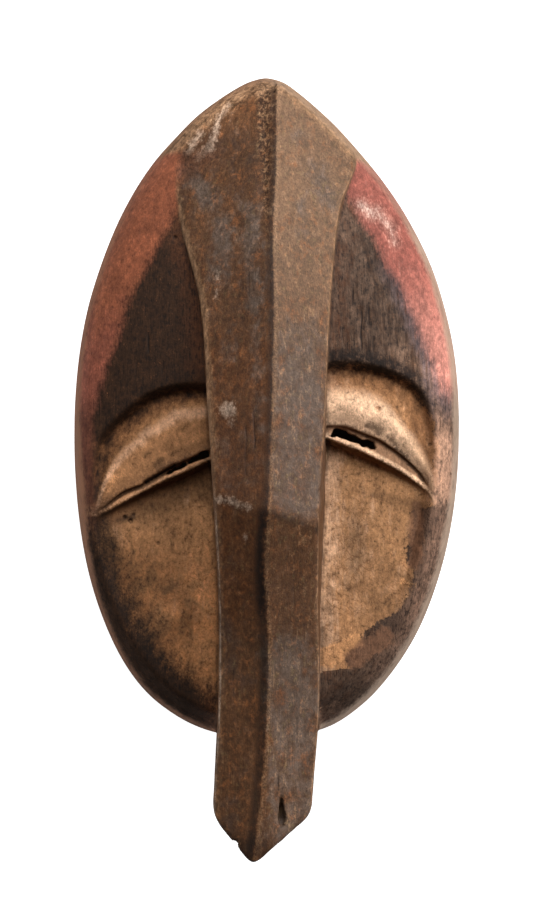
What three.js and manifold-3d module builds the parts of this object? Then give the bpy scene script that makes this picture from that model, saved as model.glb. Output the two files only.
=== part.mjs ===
// A miniature face mask carved from one block of wood. It lies on its flat back rim with the face up:
// +Z out of the face, +Y to the top of the head, +X to the right of someone who looks at the face.
// Millimetres. An oval shell, hollow behind, carries a roof-shaped crest that narrows into a long
// trunk. The trunk reaches past the chin. The eyes are two thin slits cut right through.

import * as THREE from 'three';
import * as BufferGeometryUtils from 'three/addons/utils/BufferGeometryUtils.js';
import Module from 'manifold-3d';

// Driving dimensions: back rim and side wall
const APEX_Y = 101.4;
const CHIN_Y = -72.9;
const WIDEST_Y = 8.2;
const HALF_WIDTH = 50.8;
const SIDE_HEIGHT = 16;
const SIDE_DROP = 3.4;
const SIDE_FLARE = 1.6;
const EDGE_ROUND = 1.6;
const EDGE_INSET = SIDE_FLARE + EDGE_ROUND;
const APEX_SHIFT = 1.35;

// Forehead, eyes and cheeks
const DOME_RISE = 14;
const DOME_REACH = 16;
const BROW_STEP = 3;
const BAND_STEP = 4;
const RIM_BAND = { left: 4.7, right: 6.4 };
const EYE_INNER = 15;
const EYE_OUTER = 44;
const EYE_HEIGHT = 24.3;
const EYE_FALL = 5.8;
const LID_BULGE = 2.2;
const GROOVE_SHARE = 0.4;
const MARGIN_DEPTH = 0.3;
const MARGIN_FALL = 0.7;
const EYEBALL_DEPTH = 1.8;
const LOWER_LID_DEPTH = 0.9;
const LID_FOOT = 2;
const CHEEK_HEIGHT = 18;
const CHEEK_RISE = 3;
const CHEEK_REACH = 50;

// Crest and trunk
const ROOF_SLOPE = 0.38;
const FOREHEAD_JOIN_Y = 80.7;
const PEAK_Y = -11.9;
const PEAK_REACH = 30;
const CREASE_SLANT = 0.26;
const FOOT_SHARE = 0.68;
const TIP = { x: -3.2, y: -100.2 };
const TIP_LEFT = { x: -12.8, y: -91.4 };
const TIP_RIGHT = { x: 11, y: -90.4 };
const TIP_TOP = 42;
const TIP_UNDERCUT = 24;
const GABLE_ARRIS = 17;
const GABLE_ARRIS_Y = 90;
const HAIRLINE = 0.03;

// Hollow back
const RIM_WIDTH = 6;
const HOLLOW_REACH = 16;

// Curves through a few places, each place as [position along Y, value], from the chin end up
const MIDDLE = [[-72, -0.9], [-60, -1.5], [-40, -0.8], [0, 0], [45, 0], [65, -0.7], [80, -1.4], [92, -1.3],
  [100, -0.3]];
const RIDGE_HEIGHT = [[-101, 42.5], [-60, 43.8], [-40, 45.6], [-12, 51], [15, 46], [42, 40], [61, 34],
  [FOREHEAD_JOIN_Y, 26], [92, 22], [97, 20]];
const RIDGE_X = [[-100, -3.4], [-84, -1.6], [-70, -0.4], [-48, 0.4], [-25, -0.6], [-10, 0.3], [86, 0.4],
  [97, -0.5]];
const CREST_LEFT = [[-100, -13.6], [-86, -13.5], [-60, -12.25], [-35, -12.2], [-10, -13.4], [15, -14.7],
  [41, -16.1], [61, -20.7], [FOREHEAD_JOIN_Y, -24.4]];
const CREST_RIGHT = [[-100, 11], [-86, 11.5], [-60, 13.4], [-35, 13], [-10, 13.3], [10, 14.8], [35, 15.9],
  [58, 17.8], [67, 19.4], [73, 21.8], [FOREHEAD_JOIN_Y, 24.4]];
const FOOT_RIGHT = [[-100, 11], [-60, 13.7], [-35, 14.5], [-10, 15.8], [10, 15.8], [35, 16.1], [58, 18.2],
  [FOREHEAD_JOIN_Y, 24.8]];
const UNDERSIDE = [[-100, 25], [-73, 15.5], [-70, 12], [-66, 7], [100, 5]];
const HOLLOW_HEIGHT = [[-72, 8], [-50, 11], [0, 13.5], [8, 14.5], [26, 20], [60, 15], [90, 6]];

// Eye curves of each side, each place as [distance from the middle, height on the face]
const BROW = {
  left: [[14, 20.6], [22, 20.4], [30, 18.3], [36, 14.2], [41, 9.6], [44.5, 4.4], [46.5, -5]],
  right: [[14, 25.8], [22, 26.2], [30, 24.6], [36, 22.2], [40, 19], [43, 14.2], [45.4, 6], [46.5, -4]],
};
const LID_CREST = {
  left: [[14, 13.4], [21, 12.6], [25.5, 10.8], [33.4, 5.2], [40.2, -1.9], [43.2, -9], [44, -12.5]],
  right: [[14, 16], [22, 15.6], [27.7, 14.3], [31.2, 11.8], [37.7, 4.2], [42.4, -3.8], [44, -9.5]],
};
const LID_MARGIN = {
  left: [[14, 3.6], [18, 2], [24, -0.7], [31, -5], [37.2, -7.6], [41.9, -11.4], [44, -13]],
  right: [[14, 9.6], [20, 9.4], [24, 8], [30.4, 5.2], [38.9, -1.8], [43, -8.2], [44, -10.2]],
};
const LOWER_LID = {
  left: [[14, 1.1], [21, -2.2], [27, -4.8], [32.8, -7.8], [38.1, -10.6], [44, -13.6]],
  right: [[14, 7], [20, 4.8], [24.5, 3], [30.1, 0.3], [35.7, -2.9], [41.9, -7.6], [44, -11.5]],
};
const SLIT = {
  left: { line: [[14, 2.5], [18, 0.8], [24.5, -2], [31, -5.2]], from: 15, to: 31, wide: 1.5, narrow: 0.5 },
  right: { line: [[16, 8], [21, 6.5], [24.5, 5.1], [28.5, 4]], from: 16.6, to: 28, wide: 1.6, narrow: 1.4 },
};

const clamp01 = (t) => Math.min(Math.max(t, 0), 1);
const ease = (t) => clamp01(t) ** 2 * (3 - 2 * clamp01(t));
const mix = (a, b, t) => a + (b - a) * t;
const sideOf = (x) => (x < 0 ? 'left' : 'right');

// The value of a smooth curve through a few places, level before the first and after the last.
function along(places, at) {
  const last = places.length - 1;
  if (at <= places[0][0]) return places[0][1];
  if (at >= places[last][0]) return places[last][1];
  const k = places.findIndex(([position]) => position > at) - 1;
  const slope = (i) => {
    const [before, after] = [places[Math.max(i - 1, 0)], places[Math.min(i + 1, last)]];
    return (after[1] - before[1]) / (after[0] - before[0]);
  };
  const span = places[k + 1][0] - places[k][0];
  const t = (at - places[k][0]) / span;
  const startPull = t * (1 - t) ** 2 * span * slope(k);
  const endPull = -(t ** 2) * (1 - t) * span * slope(k + 1);
  return mix(places[k][1], places[k + 1][1], ease(t)) + startPull + endPull;
}

// The two ends of the outline when it is moved inward. The pointed top moves further than the sides.
const apexY = (inset) => APEX_Y - APEX_SHIFT * inset;
const chinY = (inset) => CHIN_Y + inset;

// Outline: a pointed arch above the widest place and a blunt round below it.
function halfWidth(y, inset = 0) {
  const above = y > WIDEST_Y;
  const end = above ? apexY(inset) : chinY(inset);
  const t = clamp01((y - WIDEST_Y) / (end - WIDEST_Y));
  return (HALF_WIDTH - inset) * (above ? (1 - t ** 2.175) ** 0.725 : (1 - t ** 2.125) ** 0.42);
}

function outlineX(y, side, inset = 0) {
  return along(MIDDLE, y) + (side === 'left' ? -1 : 1) * halfWidth(y, inset);
}

// Where the outline has a given x, between the widest place and one end.
function outlineY(x, end, inset) {
  const halvings = 40;
  let [inner, outer] = [WIDEST_Y, end];
  for (let step = 0; step < halvings; step += 1) {
    const y = (inner + outer) / 2;
    if (Math.abs(x - along(MIDDLE, y)) < halfWidth(y, inset)) inner = y;
    else outer = y;
  }
  return inner;
}

function outlineLoop(count) {
  return Array.from({ length: count }, (_, i) => {
    const turn = (i / count) * 2 * Math.PI;
    const end = Math.cos(turn) > 0 ? APEX_Y : CHIN_Y;
    const y = WIDEST_Y + (end - WIDEST_Y) * Math.abs(Math.cos(turn));
    return new THREE.Vector2(outlineX(y, Math.sin(turn) > 0 ? 'left' : 'right'), y);
  });
}

const OUTLINE = outlineLoop(120);

function distanceToOutline(x, y) {
  const place = new THREE.Vector2(x, y);
  let nearest = Infinity;
  OUTLINE.forEach((start, i) => {
    const edge = OUTLINE[(i + 1) % OUTLINE.length].clone().sub(start);
    const t = clamp01(place.clone().sub(start).dot(edge) / edge.lengthSq());
    nearest = Math.min(nearest, place.distanceTo(edge.multiplyScalar(t).add(start)));
  });
  return nearest;
}

const sideHeight = (y) => SIDE_HEIGHT - SIDE_DROP * ((y - WIDEST_Y) / 80) ** 2;

// Forehead and rim: rises steeply from the edge and levels out inward.
function dome(x, y) {
  return sideHeight(y) + DOME_RISE * (1 - Math.exp(-distanceToOutline(x, y) / DOME_REACH));
}

// How far a place lies inside the sunk part of the face: under the brow and inside the rim band.
function depthInRecess(x, y) {
  const side = sideOf(x);
  const across = Math.abs(x);
  const slope = along(BROW[side], across + 0.5) - along(BROW[side], across - 0.5);
  const underBrow = (along(BROW[side], across) - y) / Math.hypot(1, slope) / BROW_STEP;
  const insideBand = (distanceToOutline(x, y) - RIM_BAND[side]) / BAND_STEP;
  return Math.min(underBrow, insideBand);
}

// Eyelid, eye channel, lower lid and cheek, from the groove under the brow down to the chin.
function sunkFace(x, y) {
  const side = sideOf(x);
  const across = Math.abs(x);
  const outward = clamp01((across - EYE_INNER) / (EYE_OUTER - EYE_INNER));
  const base = EYE_HEIGHT - EYE_FALL * outward ** 1.5;
  const shallow = 1 - outward ** 4;
  const crestY = along(LID_CREST[side], across);
  const grooveY = mix(along(BROW[side], across), crestY, GROOVE_SHARE);
  const marginY = along(LID_MARGIN[side], across);
  const lowerY = along(LOWER_LID[side], across);
  const cheek = CHEEK_HEIGHT - outward + CHEEK_RISE * ease((lowerY - LID_FOOT - y) / CHEEK_REACH);
  const levels = [
    [grooveY, base],
    [crestY, base + LID_BULGE * shallow],
    [marginY, base - MARGIN_DEPTH],
    [marginY - MARGIN_FALL * shallow, base - mix(LOWER_LID_DEPTH, EYEBALL_DEPTH, shallow)],
    [lowerY, base - LOWER_LID_DEPTH],
    [lowerY - LID_FOOT, cheek],
  ];
  const below = levels.findIndex(([level]) => y > level);
  if (below < 0) return cheek;
  if (below === 0) return base;
  const [[upperY, upper], [lowY, low]] = [levels[below - 1], levels[below]];
  return mix(low, upper, ease((y - lowY) / Math.max(upperY - lowY, 0.2)));
}

const faceHeight = (x, y) => mix(dome(x, y), sunkFace(x, y), ease(depthInRecess(x, y)));

function closedGeometry(positions, faces) {
  const geometry = new THREE.BufferGeometry();
  geometry.setAttribute('position', new THREE.Float32BufferAttribute(positions, 3));
  geometry.setIndex(faces);
  return geometry;
}

// A closed body from rings of equally many points. Seen along the body, the points run clockwise.
function loft(rings) {
  const count = rings[0].length;
  const positions = rings.flat().flatMap((p) => p.toArray());
  const faces = [];
  for (let k = 0; k < rings.length - 1; k += 1) {
    for (let i = 0; i < count; i += 1) {
      const [a, b] = [k * count + i, k * count + ((i + 1) % count)];
      faces.push(a, b, b + count, a, b + count, a + count);
    }
  }
  [0, rings.length - 1].forEach((k) => {
    const centre = rings[k].reduce((sum, p) => sum.add(p), new THREE.Vector3()).divideScalar(count);
    const hub = positions.length / 3;
    positions.push(...centre.toArray());
    for (let i = 0; i < count; i += 1) {
      const [a, b] = [k * count + i, k * count + ((i + 1) % count)];
      faces.push(...(k === 0 ? [b, a, hub] : [a, b, hub]));
    }
  });
  return closedGeometry(positions, faces);
}

// Columns across the face: few under the trunk, closer together over the eyes and near the rim.
function faceColumns() {
  const underTrunk = [6, 11];
  const openColumns = 25;
  const outer = 0.995 * (HALF_WIDTH - EDGE_INSET);
  const open = Array.from({ length: openColumns }, (_, i) => {
    const turn = ((i + 1) / openColumns) * (Math.PI / 2);
    return mix(underTrunk[1], outer, Math.sin(turn));
  });
  const right = [...underTrunk, ...open];
  return [...right.map((x) => -x).reverse(), 0, ...right];
}

// The rows of one column follow the eye curves, and spread evenly where those end near the rim.
function columnRows(x, low, high) {
  const side = sideOf(x);
  const across = Math.abs(x);
  const [brow, crest] = [along(BROW[side], across), along(LID_CREST[side], across)];
  const [margin, lower] = [along(LID_MARGIN[side], across), along(LOWER_LID[side], across)];
  const marks = [low, lower - LID_FOOT, lower - LID_FOOT / 2, lower, margin - MARGIN_FALL, margin,
    mix(margin, crest, 0.5), crest, mix(brow, crest, GROOVE_SHARE), brow - BROW_STEP, brow - BROW_STEP / 2,
    brow, high];
  const openRows = 9;
  const rowsAbove = marks.map((_, k) => (k === 0 || k === marks.length - 2 ? openRows : 1));
  const fadeWidth = 3;
  const spread = ease((across - EYE_OUTER + 1) / fadeWidth);
  const places = marks.map((mark, k) => mix(mark, mix(low, high, k / (marks.length - 1)), spread));
  const rows = [];
  for (let k = 0; k < marks.length - 1; k += 1) {
    for (let i = 0; i < rowsAbove[k]; i += 1) rows.push(mix(places[k], places[k + 1], i / rowsAbove[k]));
  }
  return [...rows, high];
}

// The place on the outline of another inset that belongs to a place on the edge of the face.
function onOutline(p, inset, z) {
  const side = p.x < along(MIDDLE, p.y) ? 'left' : 'right';
  const end = p.y > WIDEST_Y ? apexY : chinY;
  const y = WIDEST_Y + ((p.y - WIDEST_Y) * (end(inset) - WIDEST_Y)) / (end(EDGE_INSET) - WIDEST_Y);
  return new THREE.Vector3(outlineX(y, side, inset), y, z);
}

// The block of the face: relief on top, a rounded edge, and a side wall that flares to the flat back.
function faceBlock() {
  const columns = faceColumns();
  const lastColumn = columns.length - 1;
  const grid = columns.map((x, i) => {
    const low = outlineY(x, chinY(EDGE_INSET), EDGE_INSET);
    const high = outlineY(x, apexY(EDGE_INSET), EDGE_INSET);
    return columnRows(x, low, high).map((y) => {
      const atSide = i === 0 || i === lastColumn;
      const px = atSide ? outlineX(y, sideOf(x), EDGE_INSET) : x;
      return new THREE.Vector3(px, y, faceHeight(px, y));
    });
  });
  const lastRow = grid[0].length - 1;
  const positions = grid.flat().flatMap((p) => p.toArray());
  const at = (i, j) => i * (lastRow + 1) + j;
  const faces = [];
  for (let i = 0; i < lastColumn; i += 1) {
    for (let j = 0; j < lastRow; j += 1) {
      faces.push(at(i, j), at(i + 1, j), at(i + 1, j + 1), at(i, j), at(i + 1, j + 1), at(i, j + 1));
    }
  }
  const border = [];
  for (let i = 0; i < lastColumn; i += 1) border.push(at(i, 0));
  for (let j = 0; j < lastRow; j += 1) border.push(at(lastColumn, j));
  for (let i = lastColumn; i > 0; i -= 1) border.push(at(i, lastRow));
  for (let j = lastRow; j > 0; j -= 1) border.push(at(0, j));
  const edge = border.map((index) => new THREE.Vector3().fromArray(positions, index * 3));
  const belts = [
    edge.map((p) => onOutline(p, SIDE_FLARE, p.z - EDGE_ROUND)),
    edge.map((p) => onOutline(p, 0, 0)),
  ];
  let upper = border;
  belts.forEach((belt) => {
    const first = positions.length / 3;
    positions.push(...belt.flatMap((p) => p.toArray()));
    const lower = belt.map((_, i) => first + i);
    lower.forEach((index, i) => {
      const next = (i + 1) % lower.length;
      faces.push(index, lower[next], upper[next], index, upper[next], upper[i]);
    });
    upper = lower;
  });
  const hub = positions.length / 3;
  positions.push(0, WIDEST_Y, 0);
  upper.forEach((index, i) => faces.push(hub, upper[(i + 1) % upper.length], index));
  return closedGeometry(positions, faces);
}

// One section across the crest or trunk: ridge, right wall, underside and left wall. Above the
// forehead the section ends in the side wall of the outline, and at the apex in its front.
function trunkSection(y) {
  const wallTop = sideHeight(y) - EDGE_ROUND;
  const gable = (z) => {
    if (y < 0) return Infinity;
    return Math.max(halfWidth(y, (SIDE_FLARE * z) / wallTop + HAIRLINE), HAIRLINE);
  };
  const frontWall = y > GABLE_ARRIS_Y ? (wallTop * (APEX_Y - y)) / (APEX_SHIFT * SIDE_FLARE) : Infinity;
  const nearPeak = ease(1 - Math.abs(y - PEAK_Y) / PEAK_REACH);
  const middle = along(MIDDLE, y);
  const base = along(UNDERSIDE, y);
  const gableTop = gable(GABLE_ARRIS);
  const left = Math.max(along(CREST_LEFT, y), middle - gableTop);
  const right = Math.min(along(CREST_RIGHT, y), middle + gableTop);
  const footLeft = Math.max(along(CREST_LEFT, y), middle - gable(base));
  const footRight = Math.min(along(FOOT_RIGHT, y), middle + gable(base));
  const ridge = THREE.MathUtils.clamp(along(RIDGE_X, y), left, right);
  const roof = (x) => {
    const top = along(RIDGE_HEIGHT, y + CREASE_SLANT * x * nearPeak);
    return Math.min(top - ROOF_SLOPE * Math.abs(x - ridge), frontWall);
  };
  const point = (x, z) => new THREE.Vector3(x, y, z);
  return [
    point(ridge, roof(ridge)),
    point(right, roof(right)),
    point(mix(right, footRight, FOOT_SHARE), mix(roof(right), base, FOOT_SHARE)),
    point(footRight, base),
    point(footLeft, base),
    point(left, roof(left)),
  ];
}

// Stations along the trunk and crest: closer together under the chin and towards the apex.
function trunk() {
  const beyondTip = TIP.y - 1;
  const beforeApex = APEX_Y - 1.2;
  const stretches = [
    { start: beyondTip, end: -74, step: 3 },
    { start: -74, end: -64, step: 2 },
    { start: -64, end: 68, step: 4 },
    { start: 68, end: 96, step: 2 },
    { start: 96, end: beforeApex, step: 0.5 },
  ];
  const stations = stretches.flatMap(({ start, end, step }) => {
    const count = Math.ceil((end - start) / step);
    return Array.from({ length: count }, (_, i) => mix(start, end, i / count));
  });
  return loft(stations.map(trunkSection));
}

// A big block that takes away all beyond a saw cut. The cut passes through two places on the top of
// the trunk's end and leans back under it.
function sawCut(from, to) {
  const size = 60;
  const block = new THREE.BoxGeometry(size, size, size);
  block.translate(0, -size / 2, 0);
  block.rotateX(THREE.MathUtils.degToRad(TIP_UNDERCUT));
  block.rotateZ(Math.atan2(to.y - from.y, to.x - from.x));
  block.translate(to.x, to.y, TIP_TOP);
  return block;
}

// A slit that follows its eye line, wide beside the trunk and narrow at its outer end.
function slitCutter(side) {
  const { line, from, to, wide, narrow } = SLIT[side];
  const sign = side === 'left' ? -1 : 1;
  const steps = 7;
  const edge = (way) => Array.from({ length: steps }, (_, i) => {
    const across = mix(from, to, i / (steps - 1));
    const open = mix(wide, narrow, i / (steps - 1)) / 2;
    return new THREE.Vector2(sign * across, along(line, across) + way * open);
  });
  const shape = new THREE.Shape([...edge(1), ...edge(-1).reverse()]);
  return new THREE.ExtrudeGeometry(shape, { depth: 40, bevelEnabled: false });
}

// The hollow behind the face, as a body of rings that shrink towards its deepest place.
function hollow() {
  const bowl = (x, y) => {
    const inside = clamp01((distanceToOutline(x, y) - RIM_WIDTH) / HOLLOW_REACH);
    return along(HOLLOW_HEIGHT, y) * Math.sqrt(1 - (1 - inside) ** 2);
  };
  const ring = (share, height) => OUTLINE.filter((_, i) => i % 2 === 0).map((p) => {
    const inward = new THREE.Vector2(p.x, p.y - WIDEST_Y);
    inward.setLength((inward.length() - RIM_WIDTH) * share);
    const [x, y] = [inward.x, inward.y + WIDEST_Y];
    return new THREE.Vector3(x, y, height(x, y));
  });
  const shares = [1, 0.97, 0.92, 0.85, 0.75, 0.6, 0.4, 0.2];
  const belowRim = () => -5;
  return loft([ring(1, belowRim), ...shares.map((share) => ring(share, bowl))]);
}

const wasm = await Module();
wasm.setup();

function solid(geometry) {
  const bare = geometry.clone();
  bare.deleteAttribute('normal');
  bare.deleteAttribute('uv');
  const merged = BufferGeometryUtils.mergeVertices(bare, 1e-4);
  const mesh = new wasm.Mesh({
    numProp: 3,
    vertProperties: new Float32Array(merged.attributes.position.array),
    triVerts: new Uint32Array(merged.index.array),
  });
  return new wasm.Manifold(mesh);
}

function geometryOf(manifold) {
  const mesh = manifold.getMesh();
  const geometry = new THREE.BufferGeometry();
  geometry.setAttribute('position', new THREE.BufferAttribute(mesh.vertProperties, mesh.numProp));
  geometry.setIndex(new THREE.BufferAttribute(mesh.triVerts, 1));
  geometry.computeVertexNormals();
  return geometry;
}

function carveMask() {
  return solid(faceBlock())
    .add(solid(trunk()))
    .subtract(solid(hollow()))
    .subtract(solid(slitCutter('left')))
    .subtract(solid(slitCutter('right')))
    .subtract(solid(sawCut(TIP_LEFT, TIP)))
    .subtract(solid(sawCut(TIP, TIP_RIGHT)));
}

const darkWood = new THREE.MeshStandardMaterial({ color: 0x5f4738, roughness: 0.75, metalness: 0 });
const mask = new THREE.Mesh(geometryOf(carveMask()), darkWood);
mask.name = 'mask';

const group = new THREE.Group();
group.add(mask);

export default group;
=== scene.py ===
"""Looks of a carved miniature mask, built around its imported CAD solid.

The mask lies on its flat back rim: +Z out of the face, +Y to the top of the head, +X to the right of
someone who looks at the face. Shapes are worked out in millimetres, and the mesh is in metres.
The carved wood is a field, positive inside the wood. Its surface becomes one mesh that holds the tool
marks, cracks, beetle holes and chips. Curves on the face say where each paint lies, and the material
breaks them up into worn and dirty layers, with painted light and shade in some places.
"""

import math

import bpy
import numpy as np
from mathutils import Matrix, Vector

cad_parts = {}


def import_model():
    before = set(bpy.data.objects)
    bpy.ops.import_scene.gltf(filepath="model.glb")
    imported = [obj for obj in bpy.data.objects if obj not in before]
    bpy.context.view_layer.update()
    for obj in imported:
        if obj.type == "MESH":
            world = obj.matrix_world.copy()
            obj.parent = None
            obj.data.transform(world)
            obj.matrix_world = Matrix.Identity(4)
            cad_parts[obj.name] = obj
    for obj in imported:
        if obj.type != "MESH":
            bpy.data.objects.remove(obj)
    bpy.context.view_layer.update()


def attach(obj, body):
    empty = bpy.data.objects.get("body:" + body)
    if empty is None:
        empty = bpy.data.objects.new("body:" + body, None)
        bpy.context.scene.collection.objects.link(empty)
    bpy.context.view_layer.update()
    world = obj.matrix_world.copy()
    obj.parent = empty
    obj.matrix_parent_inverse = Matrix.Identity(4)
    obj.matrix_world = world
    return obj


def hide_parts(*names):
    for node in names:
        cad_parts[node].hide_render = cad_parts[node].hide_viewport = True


# Driving dimensions: back rim and side wall
APEX_Y = 102.2
APEX_BLUNT_Y = 101.8
APEX_WEAR = 2.5
CHIN_Y = -72.9
WIDEST_Y = 8.2
HALF_WIDTH = 50.8
ARCH_POWERS = (2.25, 0.775)
CHIN_POWERS = (2.125, 0.42)
SIDE_HEIGHT = 16
SIDE_DROP = 3.4
SIDE_DROP_REACH = 80
SIDE_FLARE = 1.6
EDGE_ROUND = 1.6

# Forehead, eyes and cheeks
DOME_RISE = 14
DOME_REACH = 16
BROW_STEP = 3
BAND_STEP = 4
RIM_BAND = {"left": 3.4, "right": 6.2}
EYE_INNER = 15
EYE_OUTER = 44
EYE_HEIGHT = 24.3
EYE_FALL = 5.8
LID_BULGE = {"left": 2.0, "right": 1.6}
GROOVE_SHARE = 0.4
MARGIN_DEPTH = 0.3
MARGIN_FALL = 0.7
EYEBALL_DEPTH = 1.8
LOWER_LID_DEPTH = 0.9
LID_FOOT = 2
CHEEK_HEIGHT = 18
CHEEK_RISE = 3
CHEEK_REACH = 50

# Crest and trunk
ROOF_SLOPE = 0.38
FOREHEAD_JOIN_Y = 80.7
GABLE_START_Y = 45
GABLE_REACH = 30
SIDE_MEETS_CREST_Y = 35
CHIN_FOOT_Y = -62
PEAK_Y = -11.9
PEAK_REACH = 30
CREASE_SLANT = 0.26
TIP = (-3.2, -100.2)
TIP_LEFT = (-12.8, -91.4)
TIP_RIGHT = (11, -90.4)
TIP_TOP = 42
TIP_UNDERCUT = 24
TIP_SPREAD = 1.5

# Hollow back
RIM_WIDTH = 6
HOLLOW_REACH = 16

# Curves through a few places, each place as (position along Y, value), from the chin end up
MIDDLE = [(-72, -0.9), (-60, -1.5), (-40, -0.8), (0, 0), (45, 0), (65, -0.7), (80, -1.4), (92, -1.3),
          (100, -0.3)]
RIDGE_BELOW_PEAK = [(-101, 42.5), (-60, 43.8), (-40, 45.6), (-12, 51), (16, 56.4)]
RIDGE_ABOVE_PEAK = [(-39, 56), (-12, 51), (15, 46), (42, 40), (61, 34), (FOREHEAD_JOIN_Y, 26), (92, 22),
                    (97, 20)]
RIDGE_X = [(-100, -3.4), (-84, -1.6), (-70, -0.4), (-48, 0.4), (-25, -0.6), (-10, 0.3), (3, 0.9),
           (15, 1.3), (40, 1.8), (58, 1.6), (76, 2.3), (97, 2.5)]
CREST_LEFT = [(-100, -13.6), (-86, -13.5), (-60, -12.25), (-35, -12.2), (-10, -13.4), (15, -15), (41, -17),
              (61, -22.2), (FOREHEAD_JOIN_Y, -26)]
CREST_RIGHT = [(-100, 11), (-86, 11.5), (-60, 13.4), (-35, 13), (-10, 13.3), (10, 14.8), (35, 15.9),
               (58, 17.8), (67, 19.4), (73, 21.8), (FOREHEAD_JOIN_Y, 24.4)]
FOOT_RIGHT = [(-100, 11), (-60, 13.7), (-35, 14.5), (-10, 15.8), (10, 15.8), (35, 16.1), (58, 18.2),
              (FOREHEAD_JOIN_Y, 24.8)]
UNDERSIDE = [(-100, 25), (-73, 15.5), (-70, 12), (-66, 7), (100, 5)]
HOLLOW_HEIGHT = [(-72, 8), (-50, 11), (0, 13.5), (8, 14.5), (26, 20), (60, 15), (90, 6)]

# Eye curves of each side, each place as (distance from the middle, height on the face)
BROW = {
    "left": [(14, 20.6), (22, 20.4), (30, 18.3), (36, 14.2), (41, 9.6), (44.5, 4.4), (46.5, -5)],
    "right": [(14, 25.8), (22, 26.2), (30, 24.6), (36, 22.2), (40, 19), (43, 14.2), (45.4, 6), (46.5, -4)],
}
LID_CREST = {
    "left": [(14, 13.4), (21, 12.6), (25.5, 10.8), (33.4, 5.2), (40.2, -1.9), (43.2, -9), (44, -12.5)],
    "right": [(14, 16), (22, 15.6), (27.7, 14.3), (31.2, 11.8), (37.7, 4.2), (42.4, -3.8), (44, -9.5)],
}
LID_MARGIN = {
    "left": [(14, 3.6), (18, 2), (24, -0.7), (31, -5), (37.2, -7.6), (41.9, -11.4), (44, -13)],
    "right": [(14, 9.6), (20, 9.4), (24, 8), (30.4, 5.2), (38.9, -1.8), (43, -8.2), (44, -10.2)],
}
LOWER_LID = {
    "left": [(14, 1.1), (21, -2.2), (27, -4.8), (32.8, -7.8), (38.1, -10.6), (44, -13.6)],
    "right": [(14, 7), (20, 4.8), (24.5, 3), (30.1, 0.3), (35.7, -2.9), (41.9, -7.6), (44, -11.5)],
}
# Eye slits, each with its side, its line and its width from the inner to the outer end
SLITS = [
    {"side": -1, "line": [(14, 2.6), (18, 1), (22, -1.2), (26, -3.3)], "from": 14.5, "to": 26, "wide": 1.7,
     "narrow": 0.6},
    {"side": 1, "line": [(16, 8), (21, 6.5), (24.5, 5.1), (28.5, 4)], "from": 16.9, "to": 27.8, "wide": 1.8,
     "narrow": 1.4},
]
# How far the edges of the slits wander
SLIT_RAGGED = 0.5
# A split that runs on from the left slit: two places, its width and its depth
LID_SPLIT = {"from": (-23.6, -0.8), "to": (-31.2, -5.3), "width": 0.5, "depth": 1.1}

# Wear: how far each carved edge is rounded
RIM_WEAR = 3.6
BROW_WEAR = 1.2
RIDGE_WEAR = 0.7
PEAK_WEAR = 0.5
LEFT_ARRIS_WEAR = 1.9
RIGHT_ARRIS_WEAR = 1.1
ARRIS_WEAR_AT_GABLE = 3.0
FOOT_WEAR = 0.5
FOOT_WEAR_AT_CHIN = 3.0
GABLE_WEAR = {"left": 6.0, "right": 3.4}
TIP_WEAR = 2.4
UNDERSIDE_WEAR = 1.2
HOLLOW_WEAR = 0.8
BACK_WEAR = 0.6

# Damage: the bruised band beside the ridge, how far a beetle hole's lip and slanting wall reach, the
# holes as (x, y, radius, depth), and bites out of the broken tip as (x, y, z, radius)
BRUISE_START_Y = 55
BRUISE_LEFT = 2.6
BRUISE_REACH = 2.8
HOLE_LIP = 0.25
HOLE_WALL = 0.4
BEETLE_HOLES = [
    (28.4, 13.5, 0.75, 0.7), (33.5, 14, 0.35, 0.6), (42.3, 4.5, 0.4, 0.6), (16.9, 15.3, 0.3, 0.5),
    (-23.4, 57.7, 0.35, 0.9), (-36.6, -14.3, 0.4, 0.9), (-35.2, -15.2, 0.45, 0.9),
    (-34.4, -13.6, 0.3, 0.7), (-28, -21, 0.3, 0.7),
]
TIP_BITES = [
    (-7.6, -96.3, 39.6, 1.2), (-8.4, -97.8, 38.6, 1.6), (-6.4, -99.2, 38.6, 0.9), (-9.8, -96, 37.6, 1.3),
    (-4.8, -101.4, 38.6, 1), (-10.6, -94.6, 41.6, 0.8),
]
TIP_SPLIT = {"from": (3.6, -82.6), "to": (3.9, -93.0), "width": 1.9, "depth": 2.4}
# Open pores and drying cracks, each as (x, lower y, upper y, strength). Reach is to each side
CRACK_DEPTH = 0.3
CRACK_REACH = 0.6
CRACKS = [
    (22.2, 39.8, 45.6, 1), (26.3, 33.8, 41.3, 0.9), (24.4, 27.5, 40.2, 1), (27.4, 26.6, 33, 0.7),
    (30.4, 33, 39.5, 0.6), (19.6, 29.4, 35.8, 0.6), (33.6, 28, 33, 0.5), (-30.2, 27, 34, 0.9),
    (-26.6, 22, 26.4, 0.7), (-19.6, 44, 52, 0.5), (-33.4, 21, 27, 0.5), (-3.1, 2, 14, 0.6),
    (-5.2, -4, 11, 0.4), (-4.6, 41, 49, 0.4), (6.8, -38, -29, 0.3), (-8.4, -60, -51, 0.3),
    (7.6, -72, -63, 0.4), (3, -83.6, -78, 0.8),
]

# Mesh
STEP_ACROSS = 0.5
STEP_UP = 0.8
MAP_STEP = 0.25
MAP_LOW = (-54.0, -104.0)
MAP_SIZE = (433, 833)
GRID_LOW = (-52.0, -102.0, -1.2)
GRID_HIGH = (52.0, 102.0, 52.4)
MOST_TRIANGLES = 188000


def clamp01(t):
    return np.clip(t, 0, 1)


def ease(t):
    t = clamp01(t)
    return t * t * (3 - 2 * t)


def mix(a, b, t):
    return a + (b - a) * t


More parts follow.
